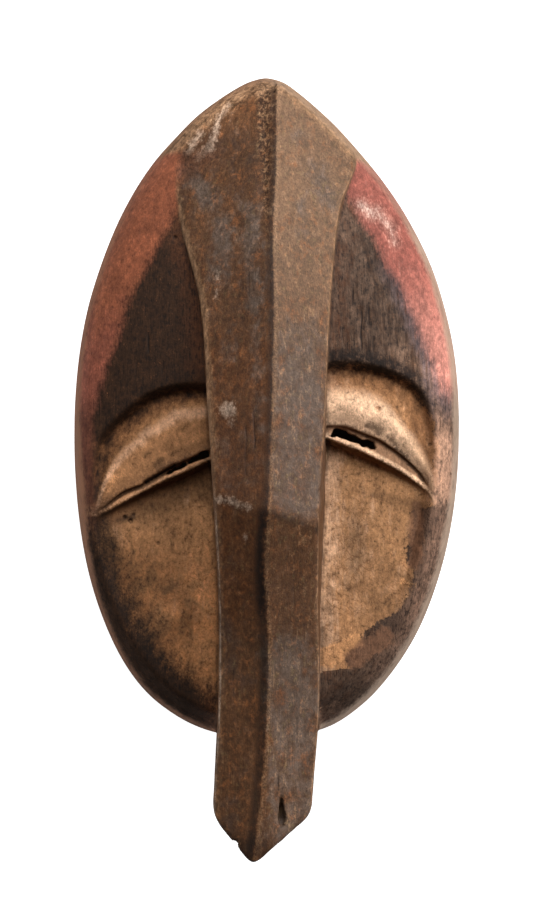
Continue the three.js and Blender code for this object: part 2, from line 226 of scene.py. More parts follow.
def smooth_min(a, b, reach):
    """The smaller of two fields, with the edge where they meet rounded over that reach."""
    h = clamp01(0.5 + 0.5 * (b - a) / reach)
    return mix(b, a, h) - reach * h * (1 - h)


def smooth_max(a, b, reach):
    return -smooth_min(-a, -b, reach)


def along(places, at):
    """The value of a smooth curve through a few places, level before the first and after the last."""
    spots, values = np.array(places, float).T
    count = len(spots)
    order = np.arange(count)
    before = np.maximum(order - 1, 0)
    after = np.minimum(order + 1, count - 1)
    slope = (values[after] - values[before]) / (spots[after] - spots[before])
    at = np.clip(at, spots[0], spots[-1])
    k = np.clip(np.searchsorted(spots, at, side="right") - 1, 0, count - 2)
    span = spots[k + 1] - spots[k]
    t = (at - spots[k]) / span
    pull = t * (1 - t) ** 2 * span * slope[k] - t**2 * (1 - t) * span * slope[k + 1]
    return mix(values[k], values[k + 1], t * t * (3 - 2 * t)) + pull


def broken_line(places, at):
    """The value of a ragged line through a few places, straight between them."""
    spots, values = np.array(places, float).T
    return np.interp(at, spots, values)


def away_from(line, x, y):
    """Distance from a straight line between two places."""
    ax, ay, bx, by = line
    dx, dy = bx - ax, by - ay
    t = clamp01(((x - ax) * dx + (y - ay) * dy) / (dx * dx + dy * dy))
    return np.hypot(x - ax - t * dx, y - ay - t * dy)


def of_side(x, values):
    """The value for the side that x is on."""
    return np.where(x < 0, values["left"], values["right"])


def by_side(x, curves, at):
    """The curve of the side that x is on, at a distance from the middle."""
    return of_side(x, {side: along(places, at) for side, places in curves.items()})


def noise(x, y, z, size, seed):
    """Smooth random values from -1 to 1. Size is the width of a bump along X, Y and Z."""
    table = np.random.default_rng(seed).uniform(-1, 1, (64, 64, 64)).astype(np.float32)
    total = 0
    cells = []
    for value, width in zip((x, y, z), size):
        place = np.asarray(value, float) / width + 1000.5
        whole = np.floor(place).astype(int)
        part = place - whole
        cells.append((whole, part * part * (3 - 2 * part)))
    for corner in range(8):
        share = 1
        index = []
        for axis, (whole, part) in enumerate(cells):
            up = corner >> axis & 1
            share = share * (part if up else 1 - part)
            index.append((whole + up) % 64)
        total = total + share * table[tuple(index)]
    return total


def face_noise(x, y, width, length, seed):
    """Noise that changes only over the face. Width and length are those of a bump."""
    return noise(x, y, 0, (width, length, 1), seed)


# Outline

def blunted(t, bend, end):
    """Goes from 1 to 0 along a bow: bend shapes its start and end its tip."""
    return (1 - t**bend) ** end


def half_width(y):
    """Half the width of the back rim: a pointed arch above the widest place, a blunt round below it."""
    above = y > WIDEST_Y
    t = clamp01((y - WIDEST_Y) / np.where(above, APEX_Y - WIDEST_Y, CHIN_Y - WIDEST_Y))
    return HALF_WIDTH * np.where(above, blunted(t, *ARCH_POWERS), blunted(t, *CHIN_POWERS))


def outline_loop(count=360):
    turn = np.arange(count) / count * 2 * np.pi
    end = np.where(np.cos(turn) > 0, APEX_Y, CHIN_Y)
    y = WIDEST_Y + (end - WIDEST_Y) * np.abs(np.cos(turn))
    side = np.where(np.sin(turn) > 0, -1, 1)
    return np.stack([along(MIDDLE, y) + side * half_width(y), y], axis=-1)


def distance_inside(x, y):
    """Distance from the outline of the back rim, positive inside it."""
    start = outline_loop()
    edge = np.roll(start, -1, axis=0) - start
    nearest = np.full(np.shape(x), np.inf)
    for (sx, sy), (ex, ey) in zip(start, edge):
        t = clamp01(((x - sx) * ex + (y - sy) * ey) / (ex * ex + ey * ey))
        nearest = np.minimum(nearest, np.hypot(x - sx - ex * t, y - sy - ey * t))
    inside = (np.abs(x - along(MIDDLE, y)) < half_width(y)) & (y < APEX_Y) & (y > CHIN_Y)
    return smooth_min(np.where(inside, nearest, -nearest), APEX_BLUNT_Y - y, APEX_WEAR)


class Map:
    """Values on an even grid over the face, read anywhere between the grid's places."""

    def __init__(self, values, step=MAP_STEP, low=MAP_LOW):
        self.values = np.asarray(values, float)
        self.step = step
        self.low = low

    def at(self, x, y):
        columns, rows = self.values.shape
        u = np.clip((x - self.low[0]) / self.step, 0, columns - 1.001)
        v = np.clip((y - self.low[1]) / self.step, 0, rows - 1.001)
        i, j = u.astype(int), v.astype(int)
        s, t = u - i, v - j
        lower = mix(self.values[i, j], self.values[i + 1, j], s)
        upper = mix(self.values[i, j + 1], self.values[i + 1, j + 1], s)
        return mix(lower, upper, t)

    def cosine(self):
        """How much shorter the way to a sloping surface is than the way straight down to it."""
        dx, dy = np.gradient(self.values, self.step)
        return Map(1 / np.sqrt(1 + dx * dx + dy * dy), self.step, self.low)


# Carved form

def side_height(y):
    return SIDE_HEIGHT - SIDE_DROP * ((y - WIDEST_Y) / SIDE_DROP_REACH) ** 2


def dome(y, out):
    return side_height(y) + DOME_RISE * (1 - np.exp(-np.maximum(out, 0) / DOME_REACH))


def depth_in_recess(x, y, out):
    """How far a place lies inside the sunk part of the face: under the brow and inside the rim band."""
    across = np.abs(x)
    slope = by_side(x, BROW, across + 0.5) - by_side(x, BROW, across - 0.5)
    under_brow = (by_side(x, BROW, across) - y) / np.hypot(1, slope) / BROW_STEP
    return smooth_min(under_brow, (out - of_side(x, RIM_BAND)) / BAND_STEP, BROW_WEAR)


def sunk_face(x, y):
    """Eyelid, eye channel, lower lid and cheek, from the groove under the brow down to the chin."""
    across = np.abs(x)
    outward = clamp01((across - EYE_INNER) / (EYE_OUTER - EYE_INNER))
    base = EYE_HEIGHT - EYE_FALL * outward**1.5
    shallow = 1 - outward**4
    crest_y = by_side(x, LID_CREST, across)
    margin_y = by_side(x, LID_MARGIN, across)
    lower_y = by_side(x, LOWER_LID, across) + 0.25 * face_noise(x, y, 1.7, 9, 21)
    cheek = CHEEK_HEIGHT - outward + CHEEK_RISE * ease((lower_y - LID_FOOT - y) / CHEEK_REACH)
    levels = [
        (mix(by_side(x, BROW, across), crest_y, GROOVE_SHARE), base),
        (crest_y, base + of_side(x, LID_BULGE) * shallow),
        (margin_y, base - MARGIN_DEPTH),
        (margin_y - MARGIN_FALL * shallow, base - mix(LOWER_LID_DEPTH, EYEBALL_DEPTH, shallow)),
        (lower_y, base - LOWER_LID_DEPTH),
        (lower_y - LID_FOOT, cheek),
    ]
    height = levels[0][1]
    for (upper_y, upper), (low_y, low) in zip(levels, levels[1:]):
        part = ease((y - low_y) / np.maximum(upper_y - low_y, 0.2))
        height = np.where(y < upper_y, mix(low, upper, part), height)
    return height


def carving_marks(x, y, recess):
    """Unevenness that the knife left: long facets on the forehead, short lumps and pits on the cheeks."""
    broad = 0.30 * face_noise(x, y, 13, 22, 1)
    facets = 0.12 * face_noise(x, y, 4.5, 26, 2)
    lumps = 0.15 * face_noise(x, y, 3.6, 5.2, 3) + 0.08 * face_noise(x, y, 1.7, 2.6, 4)
    pits = 0.5 * np.maximum(face_noise(x, y, 1.2, 1.2, 6) - 0.5, 0)
    grain = 0.05 * face_noise(x, y, 1.3, 14, 5)
    return broad + grain + mix(facets, lumps - pits, ease(recess))


def to_crack(x, y):
    """Signed distance across the nearest open pore or drying crack, and how strong it is at that height."""
    nearest = np.full(np.shape(x), 2.0)
    strength = np.zeros(np.shape(x))
    for crack_x, low, high, strong in CRACKS:
        wander = crack_x + 0.3 * face_noise(crack_x, y, 9, 3.5, 31)
        lengthwise = ease((y - low) / 2) * ease((high - y) / 2)
        closer = (np.abs(x - wander) < np.abs(nearest)) & (lengthwise > 0)
        nearest = np.where(closer, x - wander, nearest)
        strength = np.where(closer, strong * lengthwise, strength)
    return nearest, strength


def cracks(x, y):
    """Depth of the open pores and drying cracks, which follow the grain."""
    nearest, strength = to_crack(x, y)
    return CRACK_DEPTH * strength * clamp01(1 - np.abs(nearest) / CRACK_REACH)


def lid_split(x, y):
    """Distance from the middle line of the split beside the left slit."""
    return away_from((*LID_SPLIT["from"], *LID_SPLIT["to"]), x, y)


def ridge_height(y):
    """Height of the ridge: a slope down to the apex and one down to the tip, from the peak between them."""
    return smooth_min(along(RIDGE_ABOVE_PEAK, y), along(RIDGE_BELOW_PEAK, y), PEAK_WEAR)


def roof(x, y):
    """Height of the crest's two slopes, with their marks and the flattened, bruised ridge."""
    ridge = along(RIDGE_X, y)
    near_peak = ease(1 - np.abs(y - PEAK_Y) / PEAK_REACH)
    top = ridge_height(y + CREASE_SLANT * x * near_peak)
    off_ridge = np.sqrt((x - ridge) ** 2 + RIDGE_WEAR**2) - RIDGE_WEAR
    height = top - ROOF_SLOPE * off_ridge
    bruised = ease((y - BRUISE_START_Y) / 12) * clamp01(1 - np.abs(x - ridge + BRUISE_LEFT) / BRUISE_REACH)
    height = height - 0.4 * bruised - 0.2 * bruised * face_noise(x, y, 1.2, 1.4, 11)
    marks = 0.16 * face_noise(x, y, 9, 24, 12) + 0.07 * face_noise(x, y, 2.6, 8, 13)
    return height + marks + 0.04 * face_noise(x, y, 1.2, 3.6, 14)


def slit_inside(x, y):
    """How far a place lies inside an eye slit."""
    deepest = np.full(np.shape(x), -99.0)
    for slit in SLITS:
        across = x * slit["side"]
        t = clamp01((across - slit["from"]) / (slit["to"] - slit["from"]))
        ragged = SLIT_RAGGED * face_noise(x, y, 1.1, 1.0, 41)
        open_half = mix(slit["wide"], slit["narrow"], t) / 2 + ragged
        line = along(slit["line"], across)
        ends = np.minimum(across - slit["from"], slit["to"] - across)
        deepest = np.maximum(deepest, np.minimum(open_half - 0.9 * np.abs(y - line), ends + 2 * ragged))
    return deepest


def beetle_holes(x, y, height):
    """Height of the face with the beetle holes sunk into it."""
    for hole_x, hole_y, radius, depth in BEETLE_HOLES:
        near = clamp01((radius + HOLE_LIP - np.hypot(x - hole_x, y - hole_y)) / HOLE_WALL)
        height = height - depth * near
    return height


def face_maps():
    """All heights and distances that depend on the place on the face only."""
    coarse = 1.0
    coarse_x = MAP_LOW[0] + coarse * np.arange(int(MAP_SIZE[0] * MAP_STEP / coarse) + 2)
    coarse_y = MAP_LOW[1] + coarse * np.arange(int(MAP_SIZE[1] * MAP_STEP / coarse) + 2)
    outline = Map(distance_inside(*np.meshgrid(coarse_x, coarse_y, indexing="ij")), coarse)
    fine_x = MAP_LOW[0] + MAP_STEP * np.arange(MAP_SIZE[0])
    fine_y = MAP_LOW[1] + MAP_STEP * np.arange(MAP_SIZE[1])
    x, y = np.meshgrid(fine_x, fine_y, indexing="ij")
    out = outline.at(x, y)
    recess = depth_in_recess(x, y, out)
    height = mix(dome(y, out), sunk_face(x, y), ease(recess)) + carving_marks(x, y, recess)
    split = LID_SPLIT["depth"] * clamp01(1.4 - lid_split(x, y) / LID_SPLIT["width"])
    height = beetle_holes(x, y, height - cracks(x, y) - split)
    bowl_depth = clamp01((out - RIM_WIDTH) / HOLLOW_REACH)
    bowl = along(HOLLOW_HEIGHT, y) * np.sqrt(1 - (1 - bowl_depth) ** 2)
    gouges = 0.45 * face_noise(x, y, 5, 14, 51) + 0.2 * face_noise(x, y, 2.4, 6, 52)
    maps = {
        "out": Map(out + 0.18 * face_noise(x, y, 7, 16, 61)),
        "face": Map(height),
        "roof": Map(roof(x, y) - cracks(x, y)),
        "slit": Map(slit_inside(x, y)),
        "bowl": Map(bowl + gouges * bowl_depth),
        "recess": Map(recess),
    }
    for name in ("face", "roof", "bowl"):
        maps[name + "_cos"] = maps[name].cosine()
    return maps


def lines_at(y):
    """All widths and heights that depend on Y only."""
    ridge = along(RIDGE_X, y)
    right = along(CREST_RIGHT, y)
    return {
        "side": side_height(y),
        "left": along(CREST_LEFT, y),
        "right": right,
        "foot": along(FOOT_RIGHT, y),
        "under": along(UNDERSIDE, y),
        "right_top": ridge_height(y) - ROOF_SLOPE * (right - ridge),
    }


def saw_cut(x, y, z, start, end):
    """Distance from a saw cut through two places on the trunk's end. It leans back under the end."""
    angle = math.atan2(end[1] - start[1], end[0] - start[0])
    lean = math.radians(TIP_UNDERCUT)
    inward = -(x - end[0]) * math.sin(angle) + (y - end[1]) * math.cos(angle)
    return inward * math.cos(lean) + (z - TIP_TOP) * math.sin(lean)


def tip_split(x, y, z):
    """The split in the trunk's end, a wedge that widens downwards and then closes again."""
    (start_x, start_y), (end_x, end_y) = TIP_SPLIT["from"], TIP_SPLIT["to"]
    t = clamp01((start_y - y) / (start_y - end_y))
    open_share = np.minimum(t / 0.7, (1 - t) / 0.3)
    line = mix(start_x, end_x, t)
    floor = ridge_height(y) - ROOF_SLOPE * np.abs(line) - TIP_SPLIT["depth"] * clamp01(1.5 * open_share)
    wedge = TIP_SPLIT["width"] / 2 * open_share - np.abs(x - line)
    return np.minimum(np.minimum(wedge, z - floor), start_y - y)


def shell_fields(z, m, lines):
    """The side wall on its own, and the face bounded by it."""
    flare = SIDE_FLARE * np.clip(z / (lines["side"] - EDGE_ROUND), 0, 1.6)
    side = m["out"] - flare
    return side, smooth_min((m["face"] - z) * m["face_cos"], side, RIM_WEAR)


def crest_field(x, y, z, m, lines, side):
    """The roof-shaped crest and trunk, bounded by the arrises, the gable and the trunk's underside."""
    wave = m["wave"]
    near_gable = ease((y - GABLE_START_Y) / GABLE_REACH)
    left_wear = mix(LEFT_ARRIS_WEAR, ARRIS_WEAR_AT_GABLE, near_gable) * (1 + 0.35 * wave)
    up = clamp01((z - lines["under"]) / (lines["right_top"] - lines["under"]))
    right_x = mix(lines["foot"], lines["right"], up)
    field = smooth_min((m["roof"] - z) * m["roof_cos"], x - lines["left"] + 0.1 * wave, left_wear)
    field = smooth_min(field, right_x - x + 0.1 * wave, RIGHT_ARRIS_WEAR * (1 + 0.3 * wave))
    gable_wear = of_side(x - along(RIDGE_X, y), GABLE_WEAR)
    free_below = np.maximum(SIDE_MEETS_CREST_Y - y, 0)
    field = smooth_min(field, side + free_below, np.where(y > SIDE_MEETS_CREST_Y - 5, gable_wear, 1))
    return smooth_min(field, 0.95 * (z - lines["under"]), UNDERSIDE_WEAR)


def wood_field(x, y, z, m, lines):
    """Positive inside the wood, about the distance in millimetres from its surface."""
    side, face = shell_fields(z, m, lines)
    crest = crest_field(x, y, z, m, lines, side)
    for start, end in ((TIP_LEFT, TIP), (TIP, TIP_RIGHT)):
        crest = smooth_min(crest, saw_cut(x, y, z, start, end) + TIP_SPREAD + 0.12 * m["wave"], TIP_WEAR)
    junction = mix(FOOT_WEAR, FOOT_WEAR_AT_CHIN, ease((CHIN_FOOT_Y - y) / 8))
    field = smooth_max(face, crest, junction)
    hollow = smooth_min((m["bowl"] - z) * m["bowl_cos"], m["out"] - RIM_WIDTH, HOLLOW_WEAR)
    field = np.minimum(field, -hollow)
    field = smooth_min(field, z, BACK_WEAR)
    field = np.minimum(field, -m["slit"])
    for bite_x, bite_y, bite_z, radius in TIP_BITES:
        away = np.sqrt((x - bite_x) ** 2 + (y - bite_y) ** 2 + (z - bite_z) ** 2)
        field = np.minimum(field, away - radius)
    return np.minimum(field, -tip_split(x, y, z))


def read_all(x, y, z, maps):
    """What the maps and the lines say at some places, and the unevenness of every carved edge there."""
    m = {name: each.at(x, y) for name, each in maps.items()}
    m["wave"] = noise(x, y, z, (2.6, 4.2, 2.6), 71)
    return m, lines_at(y)


def field_at(points, maps):
    """The wood field at scattered points."""
    x, y, z = points.T
    return wood_field(x, y, z, *read_all(x, y, z, maps))


def field_grid(maps):
    """The wood field on an even grid, and the grid's lowest corner and steps."""
    step = np.array([STEP_ACROSS, STEP_ACROSS, STEP_UP])
    low = np.array(GRID_LOW)
    counts = np.ceil((np.array(GRID_HIGH) - low) / step).astype(int) + 1
    rows = [low[axis] + step[axis] * np.arange(counts[axis]) for axis in range(3)]
    x, y, z = np.meshgrid(*rows, indexing="ij", sparse=True)
    return wood_field(x, y, z, *read_all(x, y, z, maps)), low, step


# Mesh from the field

def join_corners(field, filled=0.02, rounds=3):
    """Fills single grid corners, so that wood never meets wood only along an edge between two cells."""
    for _ in range(rounds):
        for axis, other in ((0, 1), (1, 2), (0, 2)):
            corners = []
            for first, second in ((0, 0), (1, 1), (0, 1), (1, 0)):
                part = [slice(None)] * 3
                part[axis] = slice(1, None) if first else slice(None, -1)
                part[other] = slice(1, None) if second else slice(None, -1)
                corners.append(field[tuple(part)])
            a, b, c, d = (corner > 0 for corner in corners)
            crossed = (a == b) & (c == d) & (a != c)
            corners[0][crossed & ~a] = filled
            corners[2][crossed & a] = filled


def surface_net(field, low, step):
    """Vertices and four-sided faces of the surface where the field changes sign."""
    counts = np.array(field.shape)
    inside = field > 0
    sums = np.zeros((counts.prod(), 3))
    hits = np.zeros(counts.prod())
    quads = []
    strides = np.array([counts[1] * counts[2], counts[2], 1])
    for axis in range(3):
        ahead = [slice(None)] * 3
        behind = [slice(None)] * 3
        ahead[axis], behind[axis] = slice(1, None), slice(None, -1)
        change = inside[tuple(behind)] != inside[tuple(ahead)]
        cells = np.argwhere(change)
        near = field[tuple(behind)][change]
        far = field[tuple(ahead)][change]
        places = cells.astype(float)
        places[:, axis] += near / (near - far)
        base = cells @ strides
        u, v = strides[(axis + 1) % 3], strides[(axis + 2) % 3]
        around = np.stack([base - u - v, base - v, base, base - u], axis=-1)
        for k in range(4):
            hits += np.bincount(around[:, k], minlength=len(hits))
            for c in range(3):
                sums[:, c] += np.bincount(around[:, k], weights=places[:, c], minlength=len(hits))
        outward = near > far
        around[~outward] = around[~outward][:, ::-1]
        quads.append(around)
    used = np.flatnonzero(hits)
    number = np.full(len(hits), -1)
    number[used] = np.arange(len(used))
    return low + sums[used] / hits[used, None] * step, number[np.concatenate(quads)]


def slope_of(points, maps, reach=0.12):
    """Which way the field grows, at scattered points."""
    slope = np.empty_like(points)
    for axis in range(3):
        shift = np.zeros(3)
        shift[axis] = reach
        slope[:, axis] = field_at(points + shift, maps) - field_at(points - shift, maps)
    return slope / (2 * reach)


def settle(points, maps, rounds=2):
    """Moves points onto the surface of the wood."""
    for _ in range(rounds):
        slope = slope_of(points, maps)
        length = np.maximum(np.linalg.norm(slope, axis=1), 0.3)
        move = np.clip(field_at(points, maps) / length, -0.35, 0.35)
        points = points - (move / length)[:, None] * slope
    return points


def mesh_object(name, points, faces):
    mesh = bpy.data.meshes.new(name)
    mesh.vertices.add(len(points))
    mesh.vertices.foreach_set("co", np.asarray(points, np.float32).ravel())
    sides = faces.shape[1]
    mesh.loops.add(faces.size)
    mesh.loops.foreach_set("vertex_index", faces.astype(np.int32).ravel())
    mesh.polygons.add(len(faces))
    mesh.polygons.foreach_set("loop_start", np.arange(len(faces), dtype=np.int32) * sides)
    mesh.update(calc_edges=True)
    mesh.validate()
    piece = bpy.data.objects.new(name, mesh)
    bpy.context.scene.collection.objects.link(piece)
    return piece


def thin_out(piece):
    """Takes vertices away where the surface is plain, until the piece is light enough."""
    triangles = sum(len(p.vertices) - 2 for p in piece.data.polygons)
    lighter = piece.modifiers.new("lighter", "DECIMATE")
    lighter.ratio = min(1, MOST_TRIANGLES / triangles)
    bpy.context.view_layer.objects.active = piece
    bpy.ops.object.modifier_apply(modifier=lighter.name)


def vertex_places(piece):
    places = np.empty(len(piece.data.vertices) * 3, np.float32)
    piece.data.vertices.foreach_get("co", places)
    return places.reshape(-1, 3).astype(float)


def carve(maps):
    field, low, step = field_grid(maps)
    join_corners(field)
    points, faces = surface_net(field, low, step)
    points = settle(points, maps)
    points[:, 2] = np.maximum(points[:, 2], 0)
    piece = mesh_object("carved_mask", points / 1000, faces)
    thin_out(piece)
    piece.data.polygons.foreach_set("use_smooth", np.ones(len(piece.data.polygons), bool))
    return piece


# Paint boundaries in millimetres on the face, each place as (y, x)
RED_EDGE = {
    "left": [
        (10, -45.5), (16, -43.7), (23, -41.9), (33.5, -37.7), (42.2, -35.4), (48.4, -31.7), (58.6, -26.5),
        (65.6, -23.3), (74, -22),
    ],
    "right": [
        (10, 46.2), (17, 44.8), (22.2, 43.6), (32.2, 39.4), (44.2, 34.3), (50.1, 30.7), (56.8, 27.8),
        (62, 24.3), (68.3, 20.9), (74, 19),
    ],
}
RED_END_Y = {"left": 13, "right": 17}
CLAY_EDGE = {
    "left": [
        (-64, -12), (-58.8, -16.5), (-54.9, -22.4), (-46.6, -30.3), (-39.2, -35), (-33.2, -38.2),
        (-25.5, -41.3), (-15.4, -44.4), (-10, -46.4),
    ],
    "right": [
        (-54.2, 12), (-53.2, 21.6), (-49.6, 21), (-47.4, 24.6), (-44.5, 24.4), (-41, 29.5), (-38.4, 34.1),
        (-33, 37.8), (-27.5, 38.6), (-26.6, 36.3), (-17.4, 37.6), (-12.8, 38.5), (-11, 43.5), (-5, 45.2),
        (2.5, 46.6),
    ],
}

# Marks of each kind as (x, y, x, y, width), each a streak or a spot
MARKS = {
    "pale": [
        (-9.9, 92.6, -12, 89.5, 0.8), (-12, 89.5, -14.5, 81.2, 1), (-14.5, 81.2, -17.6, 78.7, 1.3),
        (-17.1, 85.4, -20.7, 79.7, 1), (-9.9, 13, -9.4, 13.4, 2), (-9, 10.2, -8.7, 9, 0.6),
        (-12.9, 48.4, -12.7, 46.6, 0.6), (-12.6, 43.8, -12.8, 42, 0.5), (-12.2, -9.4, -8.2, -9.9, 1),
        (-7.6, -10.3, -4.6, -11.3, 0.8), (-5.6, -18.4, -5, -19.4, 0.6), (0.6, -67.2, 0.8, -67.4, 0.5),
        (-41.5, 33.2, -43, 30.6, 0.7), (-42.6, 31.6, -43.6, 29.8, 0.5),
    ],
    "white": [
        (24.3, 66.3, 27.7, 63.8, 1.5), (28.4, 65, 32.3, 60.2, 1.1), (31.9, 60.2, 33.2, 56.5, 0.6),
    ],
    "ochre": [
        (15.4, -50.6, 21.4, -47.6, 2.7), (21.6, -47, 23, -45.4, 1.5), (35, -30.6, 38.8, -33.2, 0.8),
    ],
    "umber": [
        (38.8, -11.5, 38.4, -26, 1.7), (22.6, -50.4, 30.2, -45.2, 2.8),
    ],
    "grey": [
        (-21, 76, -15, 68, 3.6), (-4, 64, -3, 38, 2.8), (-11, 60, -12, 47, 3), (-2.4, 36, -2, -4, 1.2),
        (-12, 20, -9, 30, 1.2), (6, -50, 6.4, -66, 7.5), (7, -74, 6, -92, 6.5), (8.5, 30, 8, -8, 6.5),
        (8.3, 84, 9.2, 82, 1.4), (12.5, 75, 16, 67, 2.6), (9, 66, 10, 56, 1.6), (-9, -9, -10, 6, 1.6),
    ],
    "dust": [
        (45.6, 7, 46.6, -8, 2.4), (44.6, 1, 43.6, -9.4, 1.6), (43.6, 16, 44.8, 10, 0.8),
    ],
    "dirt": [
        (-20, 9.8, -21.4, 8.4, 0.4), (-27, 0.6, -28.8, -0.8, 0.8), (-24.6, 5.2, -25.6, 4.4, 0.3),
        (-29.6, 2.8, -31.2, 1.4, 0.5), (-21.6, 3.4, -24.6, 1.8, 0.5), (26.4, 9.8, 29.6, 7.8, 1.1),
        (31.4, 6.2, 33.4, 4.6, 0.8), (31.6, 6, 36, 1.6, 0.6), (38, 21.6, 43, 13.4, 0.6),
        (43, 13.4, 45, 5.6, 0.5), (-34.6, -14.2, -38.4, -15.2, 0.7),
    ],
}
GABLE_CORNER_Y = {"left": 79.0, "right": 77.0}
# How far inside and outside the surface the wood is probed for proud and hollow places
WEAR_PROBE = 1.5
# Stains as (x, y, x, y, width, how much lighter or darker); three of them are painted light and shade
# instead
FACE_STAINS = [
    (-40.5, -24, -31, -34.5, 5.2, -0.75), (-32.7, -33.2, -23.4, -39.4, 2.1, 0.6),
    (-17.2, -12.3, -15.1, -50, 4.2, 0.5), (-36.9, -15.1, -19.8, -22.4, 3.4, 0.15),
    (-20.3, -40.9, -29.5, -49.4, 3.1, -0.6), (-43, -9.9, -41.9, -25.5, 2.4, -0.8),
    # On the next line, (-31, -12.4, -16, -6.8) is painted shade under the left lower lid
    (-15, -36, -22, -30, 4, 0.2), (-31, -12.4, -16, -6.8, 3, -0.6), (-42, -34, -20, -62, 4, -0.45),
    (14.5, -62, 24, -60, 4.5, -0.9), (16.4, -6.2, 16.4, -33.2, 2.6, 0.35),
    (24.7, -24.4, 32.4, -28.6, 3.1, -0.3), (28.8, -35.3, 33.4, -41.4, 3.2, -0.6),
    (33.5, -19, 35.5, -27, 2.6, 0.2), (20.5, -35.8, 19.5, -45.1, 2.6, 0.2),
    # On the next line, (16, -0.6, 39, -9.2) is painted light over the shade under the right lower lid
    (16, -0.6, 39, -9.2, 3.8, 0.1), (34, 27, 41, 22, 4, 1), (-38, -28, -30, -42, 3.5, -0.3),
    # On the next line, (44.2, 6, 45.2, -7) is painted light over the shade of the right socket's outer wall
    (-30, -24, -24, -34, 4, -0.12), (-43.4, -11.5, -40, -4, 1.8, 0.7), (44.2, 6, 45.2, -7, 1.6, 0.5),
    (-28, -28, -20, -40, 4, -0.2), (15.4, -5.3, 27.8, -8.4, 1.1, -0.4),
    (27.8, -8.4, 40.5, -11.4, 1.2, -0.6), (24, -14, 24, -20, 2.4, -0.4), (44, 48, 49, 22, 5, 0.35),
]
CREST_STAINS = [
    (-1.1, -11.7, -0.6, -35.7, 1.6, -0.4), (0.4, -12.6, 12.4, -17.2, 0.9, -0.7),
    # The two long darkenings on the next line, below the peak, are partly painted shade and partly patina
    (-6.6, 2.7, -5.6, -44.8, 6.8, -0.35), (6.4, -20.9, 6.4, -42.3, 6.2, -0.45),
    (-6.4, 45.4, -6.4, 9.7, 5.7, -0.25), (-2.1, 19.4, -2.6, 3.9, 0.6, -0.4),
    (-1.1, -44.9, -0.6, -97.8, 1, -0.4), (-6.5, -96.5, -1.5, -97, 2.8, -1), (3, 62, 6, 90, 7, 0.15),
    (4, -72, 4, -90, 7, 0.35), (-18, 86, -6, 92, 7, 0.65), (-3, -24, -3, -70, 2, -0.2),
    (-7, -2, -7, -9, 5, -0.22), (-7, -47, -7, -60, 5, 0.2), (8, 16, 8, -8, 6, 0.12),
]

# Gloss and fine relief of the wood
ROUGHNESS = 0.68
SPECULAR_LEVEL = 0.2
BUMP_STRENGTH = 0.55
BUMP_HEIGHT = 0.00012

# Colours, 0 to 255, most as in even light; the notes below name those that hold painted light and shade
# The clay's brown and the darkest dirt colour also serve as painted shade under the lower lid
# The right rim's grey, the right forehead's grey and the crest's tan are partly painted light and sheen
# The socket colours are painted shade under the brow; the side walls come as a lit right and a shaded left
# copy
COLOURS = {
    "black": (23, 13, 8), "forehead": (52, 32, 18), "forehead_brown": (92, 54, 32),
    "forehead_grey_rub_and_sheen": (93, 72, 58), "rust_dots": (128, 78, 46), "rim_brown": (88, 58, 40),
    "rim_grey_worn_and_lit": (116, 87, 70), "shade": (80, 68, 72), "red_left": (128, 72, 48), "red_low": (128, 71, 54),
    "red_right": (136, 76, 64), "red_faded": (166, 108, 94), "red_dark": (92, 46, 34),
    "red_pale": (180, 134, 118), "white": (216, 192, 176), "clay": (154, 112, 76),
    "clay_brown_and_shade": (104, 68, 43), "clay_pale": (194, 158, 130), "clay_dirt": (112, 90, 68),
    "dust": (178, 136, 110), "ochre": (196, 142, 96), "umber": (112, 78, 57), "socket": (122, 80, 49),
    "clay_tan": (164, 106, 64), "brow_shadow_dark": (66, 43, 27), "lid_left": (208, 160, 125),
    "lid_right": (237, 194, 158), "lid_tan": (194, 138, 94), "crest": (84, 54, 32),
    "crest_dark": (58, 42, 33), "crest_grey": (84, 71, 62), "crest_rust": (112, 66, 34),
    "crest_brown": (88, 50, 22), "crest_tan_and_light": (131, 103, 79), "olive": (112, 94, 62),
    "film": (174, 150, 130), "worn": (154, 118, 86), "wall_shaded_left": (150, 102, 72),
    "wall_lit_right": (160, 136, 116), "raw": (124, 92, 62), "raw_dark": (78, 54, 36), "dark_grime_and_shade": (40, 28, 20),
}


def linear(name):
    """A named colour as a shader takes it."""
    shares = [v / 255 for v in COLOURS[name]]
    return (*(v / 12.92 if v < 11 / 255 else ((v + 0.055) / 1.055) ** 2.4 for v in shares), 1.0)


def inside_marks(marks, x, y):
    """How far a place lies inside the nearest mark, negative outside all of them."""
    deepest = np.full(len(x), -3.0)
    for *line, width in marks:
        deepest = np.maximum(deepest, width - away_from(line, x, y))
    return deepest


def stained(stains, x, y):
    """How much lighter or darker a place is than its paint, in steps that double the light."""
    total = np.zeros(len(x))
    for *line, width, amount in stains:
        total += amount * np.exp(-((away_from(line, x, y) / width) ** 2))
    return total


def short(distance):
    """A distance cut off where it no longer matters."""
    return np.clip(distance, -9, 9)


def crest_places(x, y, z, lines):
    """Where a place lies on the crest: beside its ridge, from its two arrises, and out from its foot."""
    ridge_x = along(RIDGE_X, y)
    left_top = ridge_height(y) - ROOF_SLOPE * (ridge_x - lines["left"])
    from_foot = np.where(x < 0, lines["left"] - x, x - lines["foot"])
    return {
        "ridge": short(x - ridge_x),
        "from_left": short(x - lines["left"]),
        "arris_left": short(np.hypot(x - lines["left"], z - left_top)),
        "arris_right": short(np.hypot(x - lines["right"], z - lines["right_top"])),
        "beside": short(from_foot),
    }


def eye_places(x, y, recess):
    """Heights above the lines of the eye, and the depth in the sunk part of the face."""
    across = np.abs(x)
    return {
        "below_brow": short(by_side(x, BROW, across) - y),
        "over_crest": short(y - by_side(x, LID_CREST, across)),
        "over_margin": short(y - by_side(x, LID_MARGIN, across)),
        "over_lower": short(y - by_side(x, LOWER_LID, across)),
        "recess": short(recess * BROW_STEP),
        "outward": clamp01((across - EYE_INNER) / (EYE_OUTER - EYE_INNER)),
        "split": short(lid_split(x, y)),
    }


